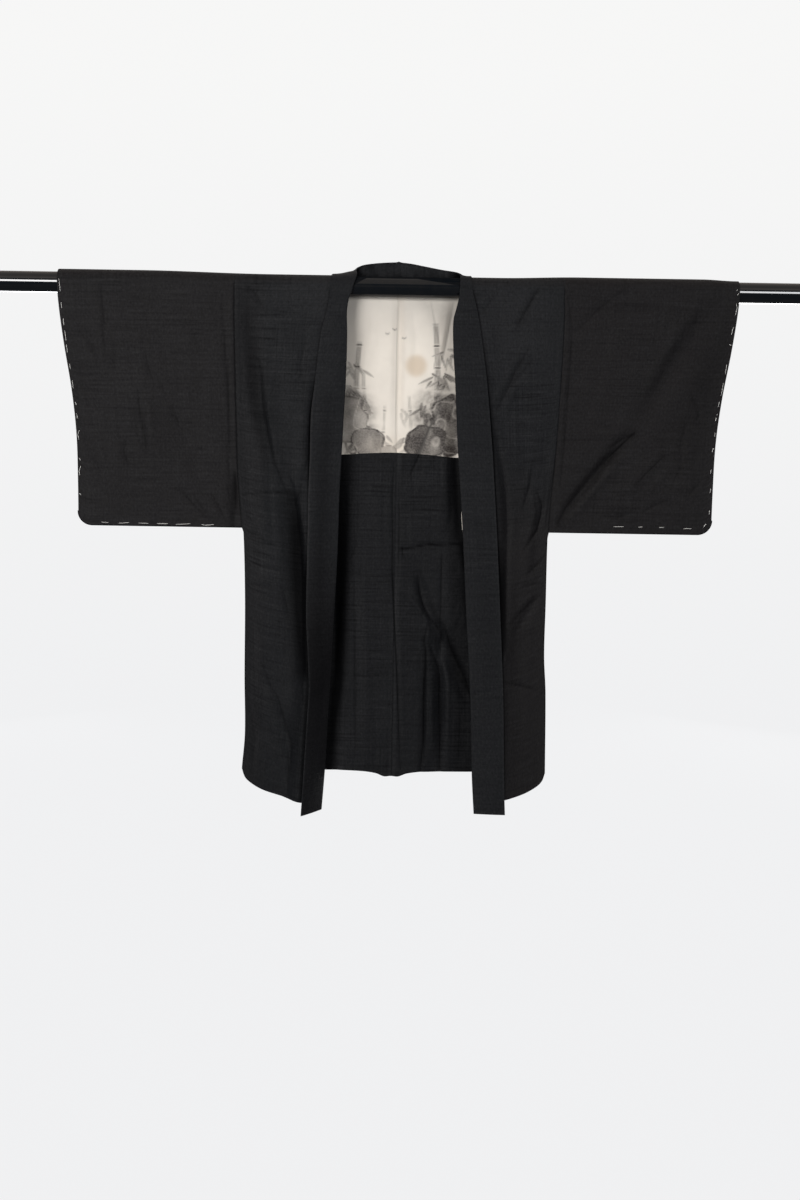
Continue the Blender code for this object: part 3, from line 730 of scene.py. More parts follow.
def set_mode(mode):
    bpy.ops.object.mode_set(mode=mode)


def select_all(action):
    bpy.ops.mesh.select_all(action=action)


def make_sheet(name, points, bolt, marks, wall=CLOTH_WALL, keep=None):
    """points and bolt are rows by columns of places, in space and on the flat cloth.

    marks are values at those places that the material reads, and keep says which cells stay.
    """
    rows, columns = points.shape[:2]
    kind = name.removesuffix("_left").removesuffix("_right")
    bpy.ops.object.select_all(action="DESELECT")
    bpy.ops.mesh.primitive_grid_add(x_subdivisions=columns - 1, y_subdivisions=rows - 1, size=1)
    piece = bpy.context.object
    piece.name = piece.data.name = name
    mesh = piece.data
    mesh.vertices.foreach_set("co", points.reshape(-1))
    corner = np.empty(len(mesh.loops), np.int32)
    mesh.loops.foreach_get("vertex_index", corner)
    bolt = (bolt + BOLT_START[kind][name.endswith("_right")]).reshape(-1, 2)
    mesh.uv_layers[0].name = "bolt"
    mesh.uv_layers[0].data.foreach_set("uv", bolt[corner].reshape(-1))
    for mark, values in {"slub": np.full((rows, columns), SLUB.get(kind, 1.0)), **marks}.items():
        layer = mesh.attributes.new(mark, "FLOAT", "POINT")
        layer.data.foreach_set("value", np.ascontiguousarray(values, np.float32).reshape(-1))
    set_mode("EDIT")
    if keep is not None:
        bpy.ops.mesh.select_mode(type="FACE")
        set_mode("OBJECT")
        first = corner.reshape(-1, 4).min(axis=1)
        mesh.polygons.foreach_set("select", ~keep(first // columns, first % columns))
        set_mode("EDIT")
        bpy.ops.mesh.delete(type="FACE")
    select_all("SELECT")
    bpy.ops.mesh.remove_doubles(threshold=0.00001)
    set_mode("OBJECT")
    bpy.ops.object.modifier_add(type="SOLIDIFY")
    solidify = piece.modifiers[-1]
    solidify.thickness, solidify.offset, solidify.use_even_offset = wall, 0.0, True
    bpy.ops.object.modifier_apply(modifier=solidify.name)
    bpy.ops.object.shade_smooth_by_angle(angle=math.radians(50))
    print(f"{name}: {len(piece.data.polygons)} faces")
    return piece


# %% [markdown]
# ## Body
# Each side of the body is one length of cloth that runs from the front hem up over the shoulder
# and down to the back hem, with no shoulder seam. The grid has a row for every few millimetres
# of that run. Behind the neck it has more columns than in front, because the back reaches to the
# centre seam and the front stops at the collar.

# %% Body lengths
ROW_PITCH, COLUMN_PITCH = 3.6 * MM, 2.5 * MM
BACK_PITCH = 5.4 * MM
FRONT_WIDTH, NECK_WIDTH, FRONT_LENGTH = 165 * MM, 120 * MM, 960 * MM
front_shares = spaced(FRONT_WIDTH, COLUMN_PITCH, fine_start=True, fine_end=True)
neck_shares = spaced(NECK_WIDTH, COLUMN_PITCH * 1.6, fine_end=True)[1:]
down_shares = spaced(FRONT_LENGTH, ROW_PITCH)[::-1]
rod_turns = np.linspace(0, 180, 19)[1:-1]
down_neck = [0.0, 5 * MM, 10 * MM, NECKLINE]
back_drops = np.concatenate([down_neck, np.arange(18 * MM, 905 * MM, BACK_PITCH)])
hem_steps = np.linspace(0, 1, 8)[1:]
RIGHT_SLUB_LOST, BODY_SLUB = 0.45, 0.8
LEFT_WARMTH, BACK_WARMTH, OUTSIDE_SHADE = 0.35, 0.45, 0.5
# Two paler patches near the shoulders: how much paler, and the middle and the half size across and
# down, in mm.
PALE_PATCHES = [(0.4, 225, 70, 50, 140), (0.34, -165, 75, 12, 52)]


def neck_x(side, turn, drop=0.0):
    """Where the neckline is at a turn round the rod, or at a drop behind it."""
    rows = [(row[0], row[2]) for row in reversed(NECK[side]) if row[0] < 180]
    behind = [(row[1], row[2]) for row in NECK[side] if row[0] == 180 and row[2] > 90]
    if turn < 180:
        return float(read(rows + [(180, behind[-1][1] + 1)], turn * MM)) + EDGE
    return read(behind[::-1], drop) + EDGE


def back_columns(side, drop):
    """The x of the back's columns at one drop."""
    corner = neck_x(side, 180, min(float(drop), NECK_DROP))
    outer = float(body_side(side, drop)) - SEAM / 2
    return np.concatenate([mix(outer, corner, front_shares), mix(corner, SEAM / 2, neck_shares)])


def body_row(side, part, at):
    """One row of the body's grid as x, y, z."""
    if part == "rod":
        x = mix(float(body_side(side, 0.0)) - SEAM / 2, neck_x(side, at), front_shares)
        row = over_rod(SIDES[side] * x, at)
    elif part == "front":
        hem_width = float(body_side(side, FRONT_HEM_AT) - front_edge(side, FRONT_HEM_AT))
        drop = at * read(FRONT_HEM, front_shares * hem_width)
        x = mix(body_side(side, drop) - SEAM / 2, front_edge(side, drop), front_shares)
        depth = front_depth(side, x, drop) + side_groove(side, x, drop)
        row = placed(side, x, -depth, drop)
    else:
        drop = float(at)
        x = back_columns(side, drop)
        if part == "hem":
            x = back_columns(side, BACK_HEM_AT)
            drop = mix(back_drops[-1], read(BACK_HEM, x), at)
        depth = back_depth(side, x, drop) + side_groove(side, x, drop) + seam_dip(x)
        row = placed(side, x, depth, drop)
    spare = len(front_shares) + len(neck_shares) - len(row)
    return np.concatenate([row, np.repeat(row[-1:], spare, axis=0)])


def side_groove(side, x, drop):
    return seam_dip(body_side(side, drop) - x) * smooth(1.4 - drop / UNDERARM)


def body_bolt(points):
    """Each point's place on the flat bolt: across from the side seam, and along the run."""
    across = np.concatenate([front_shares * FRONT_WIDTH, FRONT_WIDTH + neck_shares * NECK_WIDTH])
    return grid_of(across, distances(points[:, 0]))


def make_body(side):
    run = [("front", at) for at in down_shares] + [("rod", at) for at in rod_turns]
    run += [("back", at) for at in back_drops] + [("hem", at) for at in hem_steps]
    points = np.array([body_row(side, part, at) for part, at in run])
    neck_row = run.index(("back", NECKLINE))
    last_front = len(front_shares) - 1
    in_front = np.arange(len(run))[:, None] < len(down_shares)
    x, drop = points[..., 0], -points[..., 2]
    # The right front is browner and smoother from its middle down.
    low_right = ramp(x, 120, 120) * ramp(drop, 250, 260)
    brown = np.where(x > 0, low_right, LEFT_WARMTH * ramp(-x, 235, 30))
    out, down = np.abs(x), np.maximum(drop, 0)
    # The outside of the back gets half of this painted shade.
    behind = OUTSIDE_SHADE * back_shade(side, out, down)
    pale_patches = [
        level * hump(x - at_x * MM, wide) * hump(drop - at * MM, tall)
        for level, at_x, wide, at, tall in PALE_PATCHES
    ]
    marks = {
        "warmth": np.where(in_front, brown, BACK_WARMTH),
        "shade": np.where(in_front, front_shade(side, out, down), behind),
        "pale_and_highlight": sum(pale_patches),
        "slub": BODY_SLUB - RIGHT_SLUB_LOST * in_front * ramp(x, 150, 60) * ramp(drop, 330, 180),
    }
    stays = lambda row, column: (column < last_front) | (row >= neck_row)
    return make_sheet(f"body_cloth_{side}", points, body_bolt(points), marks, keep=stays)


cloth = {}
for side in SIDES:
    cloth[f"body_{side}"] = make_body(side)

# %% [markdown]
# ## Sleeves
# Each sleeve is one length folded over the rod. It is sewn shut along the bottom, with a rounded
# outer corner, and along its outer edge below the opening for the hand. One grid goes round: up
# the front, over the rod, down the back, and the two ends meet in the bottom seam.

# %% Sleeves
SLEEVE_WIDTH = 325 * MM
SLEEVE_PITCH = 3.7 * MM
SLEEVE_WARMTH = {"left": 0.85, "right": 1.0}
sleeve_across = spaced(SLEEVE_WIDTH, SLEEVE_PITCH, fine_start=True, fine_end=True)
sleeve_down = spaced(SLEEVE_DROP, SLEEVE_PITCH, fine_end=True)


def sleeve_sides(side, across, down):
    """x, drop and how far into the rounded corner, for shares across and down the sleeve."""
    seam_x = float(read(SLEEVE_SEAM[side], SLEEVE_DROP)) + SEAM / 2
    end_x = float(read(SLEEVE_END, SLEEVE_DROP))
    into_corner = np.maximum(0.0, SLEEVE_CORNER - (1 - across) * (end_x - seam_x))
    rise = SLEEVE_CORNER - np.sqrt(SLEEVE_CORNER**2 - into_corner**2)
    drop = down * (SLEEVE_DROP - rise)
    x = mix(read(SLEEVE_SEAM[side], drop) + SEAM / 2, read(SLEEVE_END, drop), across)
    return x, drop, into_corner / SLEEVE_CORNER


def sleeve_layers(side, x, drop):
    """How far the folds sway both layers, and how far each layer is from their middle."""
    from_end, from_seam = read(SLEEVE_END, drop) - x, x - read(SLEEVE_SEAM[side], drop)
    down = drop / SLEEVE_DROP
    broad = ramp(drop, 0, 60) * ramp(from_seam, 0, 30) * folded(SLEEVE_FOLDS, SIDES[side] * x, drop)
    fine = creased(SLEEVE_CREASES, SIDES[side] * x, drop) + drift(x, drop, 2.0 + SIDES[side])
    fine = fine + 1.35 * crumpled(x, drop, 90 + SIDES[side] * 10)
    sway = broad + fine * ramp(drop, 0, 16) * ramp(from_seam, 0, 7) * ramp(from_end, 0, 9)
    apart = {}
    for face, radius in (("front", FRONT_RADIUS), ("back", BACK_RADIUS)):
        at_end = mix(radius, PINCH, smooth(drop / HAND_OPENING) ** 0.8)
        apart[face] = mix(at_end, mix(radius, PINCH, down), smooth(from_end / END_EASE))
        apart[face] = apart[face] + seam_dip(from_seam) * ramp(drop, 0, 30) * smooth(4 - 4 * down)
    return -sway, apart


def sleeve_points(side, face, down):
    if face == "rod":
        seam, end = float(read(SLEEVE_SEAM[side], 0.0)), float(read(SLEEVE_END, 0.0))
        x = mix(seam + SEAM / 2, end, sleeve_across)
        return over_rod(SIDES[side] * x, down)
    x, drop, into_corner = sleeve_sides(side, sleeve_across, down)
    sway, apart = sleeve_layers(side, x, drop)
    if face == "bottom":
        lower = PINCH * np.sqrt(1 - into_corner**2)
        return placed(side, x + PINCH * into_corner, sway, drop + lower)
    if face == "front":
        return placed(side, x, sway - apart["front"] - creased(SLEEVE_HEM, SIDES[side] * x, drop), drop)
    return placed(side, x, sway + apart["back"], drop)


def make_sleeve(side):
    run = [("bottom", 1.0)] + [("front", at) for at in sleeve_down[::-1]]
    run += [("rod", at) for at in rod_turns]
    run += [("back", at) for at in sleeve_down] + [("bottom", 1.0)]
    points = np.array([sleeve_points(side, face, at) for face, at in run])
    along = distances(points[:, 4])
    x, drop = points[..., 0], np.maximum(-points[..., 2], 0)
    # Painted shade in the creases and along the seam, on the front layer.
    shade = shaded(SLEEVE_CREASES, SLEEVE_SHADES, x, drop) * smooth((-points[..., 1] / MM + 6) / 8)
    from_seam = np.abs(x) - read(SLEEVE_SEAM[side], drop)
    shade = np.clip(shade + seam_shade(side, from_seam, drop) * (drop > 0), 0, 1)
    marks = {"warmth": np.full(drop.shape, SLEEVE_WARMTH[side]), "shade": shade}
    bolt = grid_of(sleeve_across * SLEEVE_WIDTH, along)
    piece = make_sheet(f"sleeve_cloth_{side}", points, bolt, marks)
    return piece, float(along[-1])


sleeve_length = {}
for side in SIDES:
    cloth[f"sleeve_{side}"], sleeve_length[side] = make_sleeve(side)

# %% [markdown]
# ## Side gussets
# Between front and back, under each sleeve, a long narrow wedge gives room at the hips. It sags
# inwards a little between its two seams.

# %% Gussets
GUSSET_TOP, GUSSET_HEM = 478 * MM, 916 * MM
GUSSET_INSET = 1.6 * MM
GUSSET_SLACK = 0.32
GUSSET_HALF, GUSSET_WARMTH = 0.03, 0.6
GUSSET_COLUMNS, GUSSET_ROWS = 17, 120


def make_gusset(side):
    across = np.linspace(-1, 1, GUSSET_COLUMNS)
    drop = np.linspace(GUSSET_TOP, GUSSET_HEM, GUSSET_ROWS)[:, None]
    x = body_side(side, drop) - GUSSET_INSET
    front = front_depth(side, x, drop) - WALL / 2 - LAYER
    back = back_depth(side, x, drop) - WALL / 2 - LAYER
    slack = GUSSET_SLACK * front * (1 - across**2) * (1 + 0.25 * np.sin(drop / (37 * MM)))
    points = placed(side, x - slack, mix(-front, back, (across + 1) / 2), drop)
    bolt = grid_of((across + 1) * GUSSET_HALF, drop[:, 0])
    marks = {"warmth": np.full(bolt.shape[:2], GUSSET_WARMTH)}
    return make_sheet(f"gusset_cloth_{side}", points, bolt, marks)


for side in SIDES:
    cloth[f"gusset_{side}"] = make_gusset(side)

# %% [markdown]
# ## Collar
# The collar is one long band, folded in half outwards. Round the neck it stands up behind the
# rod and falls back outside; down the fronts it lies flat on itself. At each station along it
# three points are known: where it is sewn on, its fold, and its free edge. The cross-section is
# drawn between them, with a round fold and a slightly full outer layer.

# %% Collar
NECK_STEPS = 12
FIRST_STATION, STATION_PITCH = 14 * MM, 3.4 * MM
STAND = np.linspace(0, 1, 15)
FALL = np.linspace(1, 0, 15)
BEND = np.radians(np.linspace(-67.5, 67.5, 7))
COLLAR_OFF_ROD = 0.15 * MM
FRONT_STEP = 4 * MM
COLLAR_FULLNESS = 1.3 * MM
# How warm each collar is low down, and how strong the painted highlight along its free edge is.
COLLAR_WARMTH, COLLAR_EDGE_HIGHLIGHT = {"left": 0.55, "right": 0.0}, {"left": 0.9, "right": 0.3}
COLLAR_CREASES = crease_table("""
-1.1 2.2 2.4 0  146,764 176,760 210,752
-0.8 2.6 3 0  -168,845 -150,850 -124,846
-0.9 5 6 0  -128,700 -134,790 -142,880
0.6 6 6 0  160,260 168,380 176,520
""")
# Soft painted shade on the collars: the rise is how dark it is.
COLLAR_SHADES = crease_table("""
0.46 20 18 0  -130,210 -134,300 -138,420 -142,560 -146,760
0.12 9 9 0  -100,110 -102,160 -102,240
0.15 26 26 0  166,440 178,600 186,800
""")


def unit(a):
    return a / np.linalg.norm(a, axis=-1, keepdims=True)


def neck_stations(side):
    """Points round the neck where the collar is sewn on, its fold, its free edge, and its sag."""
    rows = np.array(NECK[side], float)
    at = np.arange(0, len(rows) - 1 + 1e-9, 1 / NECK_STEPS)
    i = np.minimum(at.astype(int), len(rows) - 2)
    t = (at - i)[:, None]
    a, b = rows[i], rows[i + 1]
    before, after = rows[np.maximum(i - 1, 0)], rows[np.minimum(i + 2, len(rows) - 1)]
    values = curve(a, b, (b - before) / 2, (after - a) / 2, t)
    turn = np.where(values[:, 0] > 179, 180, np.maximum(values[:, 0], 0))
    drop, seam = np.maximum(values[:, 1], 0) * MM, np.maximum(values[:, 2] * MM, SEAM / 2)
    behind = placed(side, seam, back_depth(side, seam, drop), drop)
    front = placed(side, seam, -front_depth(side, seam, drop * 0), drop)
    start = np.where((turn <= 0)[:, None], front, over_rod(SIDES[side] * seam, turn))
    start = np.where((turn >= 180)[:, None], behind, start)
    points, sag = values[:, 3:9] * MM, values[:, 9] * MM
    fold, edge = points[:, :3], points[:, 3:]
    for end in (fold, edge):
        end[:, 0] = SIDES[side] * np.maximum(end[:, 0], SEAM / 2)
    return start + unit(fold - start) * SEAM * 3, fold, edge, sag


def front_stations(side):
    """The same points down a front, where the collar is folded flat on itself."""
    hem_width = body_side(side, FRONT_HEM_AT) - front_edge(side, FRONT_HEM_AT)
    hem = float(read(FRONT_HEM, hem_width))
    past_hem = np.linspace(hem, COLLAR_DROP[side], 9)
    drop = np.concatenate([np.arange(FIRST_STATION, hem, STATION_PITCH), past_hem])
    inner, turned = collar_at(side, drop, INNER), collar_at(side, drop, TURNED)
    edge_x, none = front_edge(side, drop), 0 * drop
    depth = front_depth(side, edge_x, drop)
    fold = placed(side, inner, turned - depth, drop)
    inward = unit(np.stack([edge_x - inner, -turned, none], axis=-1))
    beside = front_depth(side, edge_x + FRONT_STEP, drop) - depth
    body_run = unit(np.stack([FRONT_STEP + none, beside, none], axis=-1))
    bend = np.arccos(np.minimum(1.0, inward[:, 0] * body_run[:, 0] - inward[:, 1] * body_run[:, 1]))
    start_in = (SEAM + WALL / 2 * np.sin(bend)) / np.maximum(np.cos(bend), 0.4)
    start = placed(side, edge_x - start_in * inward[:, 0], -depth - start_in * inward[:, 1], drop)
    over_x, over_y = COLLAR_OVERLAP * inward[:, 0], COLLAR_OVERLAP * inward[:, 1]
    over = placed(side, edge_x + over_x, -depth + over_y, drop)
    return start, fold, over + placed(side, inward[:, 1], -inward[:, 0], none) * COLLAR_LAYERS, none


def clear_of_rod(points, gap):
    """Cloth that would cut into the rod is moved straight out to lie on it."""
    radius = np.hypot(points[..., 1], points[..., 2])
    grow = np.maximum(1.0, (FRONT_RADIUS + COLLAR_OFF_ROD + gap) / radius)
    return points * np.stack([np.ones_like(grow), grow, grow], axis=-1)


def collar_marks(side, points, across):
    """Where a collar is warm, where shade is painted on it, and where a highlight is painted along its
    free edge.
    """
    x, y, z = points[..., 0], points[..., 1], points[..., 2]
    drop, standing = -z, (np.arange(points.shape[1]) < len(STAND))[None, :]
    low = ramp(drop, 450, 200) * COLLAR_WARMTH[side]
    # Painted shade on the falling half, in front.
    shade = shaded(COLLAR_CREASES, COLLAR_SHADES, x, np.maximum(drop, 0)) * ~standing * ramp(-y, 0, 10)
    # Painted shade inside the neck: the standing half is darkest where it comes down to the rod and
    # towards its ends, with patches that differ at random.
    patchy = 0.3 * uneven(x, z, 11, 16, 40) + 0.25 * uneven(x, z, 4, 13, 41)
    ends = 0.3 * ramp(np.abs(x - 16 * MM), 60, 30)
    in_neck = 0.05 + 0.6 * hump(z - 20 * MM, 9) + patchy + ends
    shade = shade + standing * ramp(z, 12, 8) * in_neck
    # Painted highlight along the free edge of the falling half.
    pale_and_highlight = hump(across[-1] - across, 1.7)[None, :] * ramp(drop, 150, 150) * COLLAR_EDGE_HIGHLIGHT[side]
    return {"warmth": low, "shade": np.clip(shade, 0, 1), "pale_and_highlight": pale_and_highlight}


def make_collar(side):
    parts = zip(neck_stations(side), front_stations(side))
    start, fold, edge, sag = [np.concatenate(pair) for pair in parts]
    # A small lump where the band's two lengths are joined at the centre back.
    fold[:, 2] += 1.1 * MM * hump(fold[:, 0], 3) * (fold[:, 1] > 0)
    rise = unit(fold - start)
    run = unit(np.concatenate([fold[1:2] - fold[:1], fold[2:] - fold[:-2], fold[-1:] - fold[-2:-1]]))
    out = unit(np.cross(rise, run) if side == "right" else np.cross(run, rise))
    stand = clear_of_rod(mix(start[:, None], fold[:, None], STAND[None, :, None]), 0.0)
    half = COLLAR_LAYERS / 2
    bend = fold[:, None] + rise[:, None] * (half * np.cos(BEND))[None, :, None]
    bend = bend + out[:, None] * (half + half * np.sin(BEND))[None, :, None]
    top = fold + out * COLLAR_LAYERS
    fall = mix(edge[:, None], top[:, None], FALL[None, :, None])
    along = distances(fold)
    swell = 1 + 0.35 * np.sin(along / (41 * MM)) + 0.2 * np.sin(along / (17 * MM) + 1.0)
    full = COLLAR_FULLNESS * ramp(-fold[:, 2], 10, 60) * swell - sag
    full = full[:, None] * np.sin(math.pi * FALL[None, :]) ** 0.8
    full = full + creased(COLLAR_CREASES, fall[..., 0], -fall[..., 2]) * (fall[..., 1] < 0)
    fall = clear_of_rod(fall + out[:, None] * full[..., None], COLLAR_LAYERS)
    points = np.concatenate([stand, bend, fall], axis=1)
    points[0, :, 0] = 0.0
    across = distances(points[len(points) // 2])
    marks = collar_marks(side, points, across)
    piece = make_sheet(f"collar_cloth_{side}", points, grid_of(across, along), marks)
    return piece, float(across[-1]), float(along[-1])


collar_size = {}
for side in SIDES:
    cloth[f"collar_{side}"], *collar_size[side] = make_collar(side)
print("collar lengths as cut:", collar_size)

# %% [markdown]
# ## Inside the back
# Above, the cream lining hangs just inside the back; below it, the hem is turned up in the same
# black silk. Both are made from the back's own shape, moved in, so a fold goes through all the
# layers as it does in sewn cloth. Their common edge dips and rises a little.

# %% Lining and turned-up hem
LINING_OFF = WALL / 2 + LINING_WALL / 2 + 1.0 * MM
TURN_UP_OFF = WALL + 1.0 * MM
TURN_UP_SHORT = 1.5 * MM
INSIDE_FROM = 0.13
LINING_EDGE = [(-300, 313), (-103, 312), (-50, 308.5), (0, 307), (60, 310), (121, 315), (300, 316)]
TURN_UP_PITCH, TURN_UP_ROWS, LINING_PITCH = 2.6 * MM, 4.2 * MM, 1.9 * MM
INSIDE_WIDTH, INSIDE_TOP, INSIDE_JOIN, INSIDE_HEM = 275 * MM, 15 * MM, 310 * MM, 930 * MM
LINING_SHEET = 0.7 * MM
INSIDE_DIP, INSIDE_ACROSS, TURN_UP_WARMTH = 0.6, 0.4, 0.15


def inside_sheet(name, side, span, edges, row_pitch, pitch, off, wall, ink=None):
    """A sheet inside the back. span is about where it starts and ends, edges are the exact lines."""
    columns = spaced(INSIDE_WIDTH, pitch, fine_end=True)
    rows = []
    for share in spaced(span[1] - span[0], row_pitch):
        near = float(mix(*span, share))
        corner = neck_x(side, 180, min(near, NECK_DROP))
        outer = mix(float(body_side(side, near)) - SEAM / 2, corner, INSIDE_FROM)
        x = mix(outer, SEAM / 2, columns)
        drop = mix(edges[0](x), edges[1](x), share)
        depth = back_depth(side, x, drop) - off + INSIDE_DIP * seam_dip(x)
        rows.append(placed(side, x, depth, drop))
    points = np.array(rows)
    x, drop = points[..., 0], -points[..., 2]
    bolt = np.stack([-x * SIDES[side] + INSIDE_ACROSS, drop], axis=-1)
    if ink:
        # Painted shade on the lining, in its creases and soft shades.
        shade = np.clip(shaded(BACK_CREASES, LINING_SHADES, x, drop), 0, 1)
        marks = {**ink(x / MM, drop / MM), "shade": shade}
    else:
        # Painted shade on the turned-up hem, and a painted highlight on the ridge beside the centre
        # seam.
        warmth, ridge = np.full(x.shape, TURN_UP_WARMTH), 0.5 * hump(x - 5 * MM, 3.5)
        marks = {"warmth": warmth, "shade": back_shade(side, x, drop), "pale_and_highlight": ridge}
    return make_sheet(name, points, bolt, marks, wall=wall)


def lining_edge(side, x):
    return read(LINING_EDGE, SIDES[side] * x)


def make_turn_up(side):
    upper = lambda x: lining_edge(side, x) + SEAM / 2
    lower = lambda x: read(BACK_HEM, x) - TURN_UP_SHORT
    name, span = f"turn_up_cloth_{side}", (INSIDE_JOIN, INSIDE_HEM)
    return inside_sheet(
        name, side, span, (upper, lower), TURN_UP_ROWS, TURN_UP_PITCH, TURN_UP_OFF, CLOTH_WALL
    )


for side in SIDES:
    cloth[f"turn_up_{side}"] = make_turn_up(side)

# %% [markdown]
# ## A brushed ink design for the lining
# The cream lining is painted in ink: bamboo and stones in a mist, in dark and pale washes, with a
# little tan. The design is worked out here stroke by stroke, as a darkness at each point of the
# lining's fine grid, and stored in the mesh as two attributes, `ink` and `tan`, that the material
# mixes. Here x and drop are in mm from the middle of the back and below the rod.

# %% Ink strokes
def stalk(x, drop, foot_x, foot, top, lean, half, dark):
    """One bamboo stem from its foot up to its top, with a ring at each joint."""
    off = np.abs(x - (foot_x + lean * (foot - drop) + 1.5 * np.sin(drop / 33.0))) / half
    body = bell(off, 1, 4) * (0.55 + 0.45 * smooth((off - 0.2) / 0.8))
    inside = smooth((drop - top) / 8) * smooth((foot - drop) / 8)
    joint = np.abs((foot - drop) % 41.0 - 20.5)
    ring = bell(joint, 1.3) * bell(off, 1.3, 4)
    gap = 1 - 0.8 * bell(joint - 2.6, 1.1)
    return inside * np.clip(body * gap * dark + ring * dark * 1.2, 0, 1)


def leaf(x, drop, at, angle, length, half, dark):
    """One brushed leaf: full near its stem, drawn out to a point."""
    run_x, run_d = math.cos(angle), math.sin(angle)
    along = ((x - at[0]) * run_x + (drop - at[1]) * run_d) / length
    off = np.abs(-(x - at[0]) * run_d + (drop - at[1]) * run_x)
    share = np.clip(along, 0.0, 1.0)
    width = half * np.sqrt(share + 0.02) * (1 - share) ** 0.8 * 1.9 + 0.15
    on = smooth((along + 0.03) / 0.04) * smooth((1.02 - along) / 0.04)
    return on * bell(off, width, 4) * dark * (1 - 0.35 * share)


def blotted(x, drop, wide, long, seed):
    return uneven(x * MM, drop * MM, wide, long, seed)


def stone(x, drop, middle_x, middle, half_x, half, dark, seed):
    """A garden stone: a broad wash with paler facets, and a darker brushed outline."""
    across, down = np.abs((x - middle_x) / half_x), np.abs((drop - middle) / half)
    off = (across**2.4 + down**2.4) ** (1 / 2.4) + 0.2 * blotted(x, drop, 22, 19, seed)
    facets = blotted(x, drop, 13, 22, seed + 1) + 0.4 * blotted(x, drop, 6, 9, seed + 2)
    veins = bell(blotted(x, drop, 25, 31, seed + 3), 0.09)
    tone = dark * (0.9 + 0.16 * facets) * (1 - 0.3 * veins) + 0.2 * bell(off - 0.93, 0.05)
    return smooth((1.0 - off) / 0.04), np.clip(tone, 0, 0.97)


# Each stem's foot as x and drop, its top, its lean, its half width and how dark it is.
STEMS = number_table("""
-84 330 96 0.05 4.4 0.85
-58 330 150 -0.03 3.2 0.55
-30 330 215 0.06 2.4 0.45
97 330 60 -0.10 4.6 0.8
70 330 128 0.04 3.4 0.6
30 330 196 -0.05 2.6 0.45
""")
# Each tuft's x and drop, how many leaves it has, how long they are and how dark.
TUFTS = number_table("""
-80 150 12 32 0.80
-92 190 14 36 0.92
-66 214 13 32 0.72
-86 246 16 36 0.95
-56 262 13 32 0.80
-84 290 14 34 0.90
-34 288 12 28 0.62
90 118 12 32 0.74
78 168 15 34 0.90
98 214 16 38 0.95
60 226 14 32 0.78
84 262 16 36 0.95
48 276 14 32 0.80
96 296 13 32 0.90
26 292 11 26 0.62
22 236 7 24 0.42
""")
# Each stone's middle, its half width and height, how dark it is, and a seed for its facets.
STONES = number_table("""
-92 248 40 48 0.74 70
-52 290 34 27 0.80 74
-14 304 17 10 0.58 78
104 254 40 54 0.98 82
58 288 40 31 1.04 86
""")
BIRDS = [(-20, 84), (-6, 76), (12, 92)]


def ink_marks(x, drop):
    """Ink and tan at each point."""
    drawn = np.random.default_rng(20)
    ink = np.zeros(x.shape)
    for stem in STEMS:
        ink = np.maximum(ink, stalk(x, drop, *stem))
    for middle_x, middle, count, reach, dark in TUFTS:
        for _ in range(int(count)):
            angle = drawn.uniform(0.10, 0.90) * math.pi
            start = (middle_x + drawn.uniform(-16, 16), middle + drawn.uniform(-15, 10))
            length, half = reach * drawn.uniform(0.55, 1.0), drawn.uniform(2.4, 3.8)
            shade = dark * drawn.uniform(0.6, 1.1)
            ink = np.maximum(ink, leaf(x, drop, start, angle, length, half, shade))
    # Broad wet washes behind the leaves, then mist that lifts the ink in two bands.
    wash = 0.80 * bell(((x + 82) / 42) ** 2 + ((drop - 246) / 60) ** 2, 1)
    wash = wash + 0.90 * bell(((x - 82) / 50) ** 2 + ((drop - 244) / 72) ** 2, 1)
    wash = wash + 0.14 * bell(0.5 * x - 0.87 * drop - 10, 16) * smooth((x - 10) / 50)
    blots = blotted(x, drop, 9, 8, 5) + 0.6 * blotted(x, drop, 4, 4, 6)
    wash = np.minimum(wash * np.clip(0.85 + 0.3 * blots, 0.3, 1.2), 0.94)
    mist = 0.55 * bell(drop - 256 - 7 * np.sin(x / 31.0), 6)
    mist = mist + 0.5 * bell(drop - 188 + 5 * np.sin(x / 23.0), 6)
    ink = (1 - (1 - ink) * (1 - wash)) * (1 - mist * 0.8)
    for *form, seed in STONES:
        inside, tone = stone(x, drop, *form, int(seed))
        ink = mix(ink, tone, inside)
    # Three small far birds, each of two brushed wings.
    for bird_x, bird in BIRDS:
        for wing in (-1, 1):
            out = wing * (x - bird_x)
            stroke = np.abs((drop - bird) + out * 0.55) / 0.9 + smooth(-out / 0.6) * 9
            ink = np.maximum(ink, 0.9 * np.exp(-stroke) * smooth((5 - np.abs(out)) / 1.5))
    tan = 0.55 * bell(np.hypot(x - 36, drop - 142), 21, 6)
    tan = tan + 0.18 * bell(x + 20, 60) * bell(drop - 296, 20)
    tan = tan + 0.12 * bell(x - 6, 7) * smooth((260 - drop) / 60)
    return {"ink": np.clip(ink, 0, 1), "tan": tan}


def make_lining(side):
    upper = lambda x: NECKLINE + EDGE + 0 * x
    lower = lambda x: lining_edge(side, x) - SEAM / 2
    name, span, edges = f"lining_silk_{side}", (INSIDE_TOP, INSIDE_JOIN), (upper, lower)
    across = LINING_PITCH * 1.2
    return inside_sheet(
        name, side, span, edges, LINING_PITCH, across, LINING_OFF, LINING_SHEET, ink_marks
    )


for side in SIDES:
    cloth[f"lining_{side}"] = make_lining(side)

# %% [markdown]
# ## The edge of the front's lining
# Beside the right collar a narrow edge of the cream lining shows, where the front's own lining
# has slipped past the collar.

# %% Lining edge at the right front
STRIP_TOP, STRIP_BOTTOM = 402 * MM, 452 * MM
STRIP_WIDTH, STRIP_SHOWS = 16 * MM, 2.2 * MM


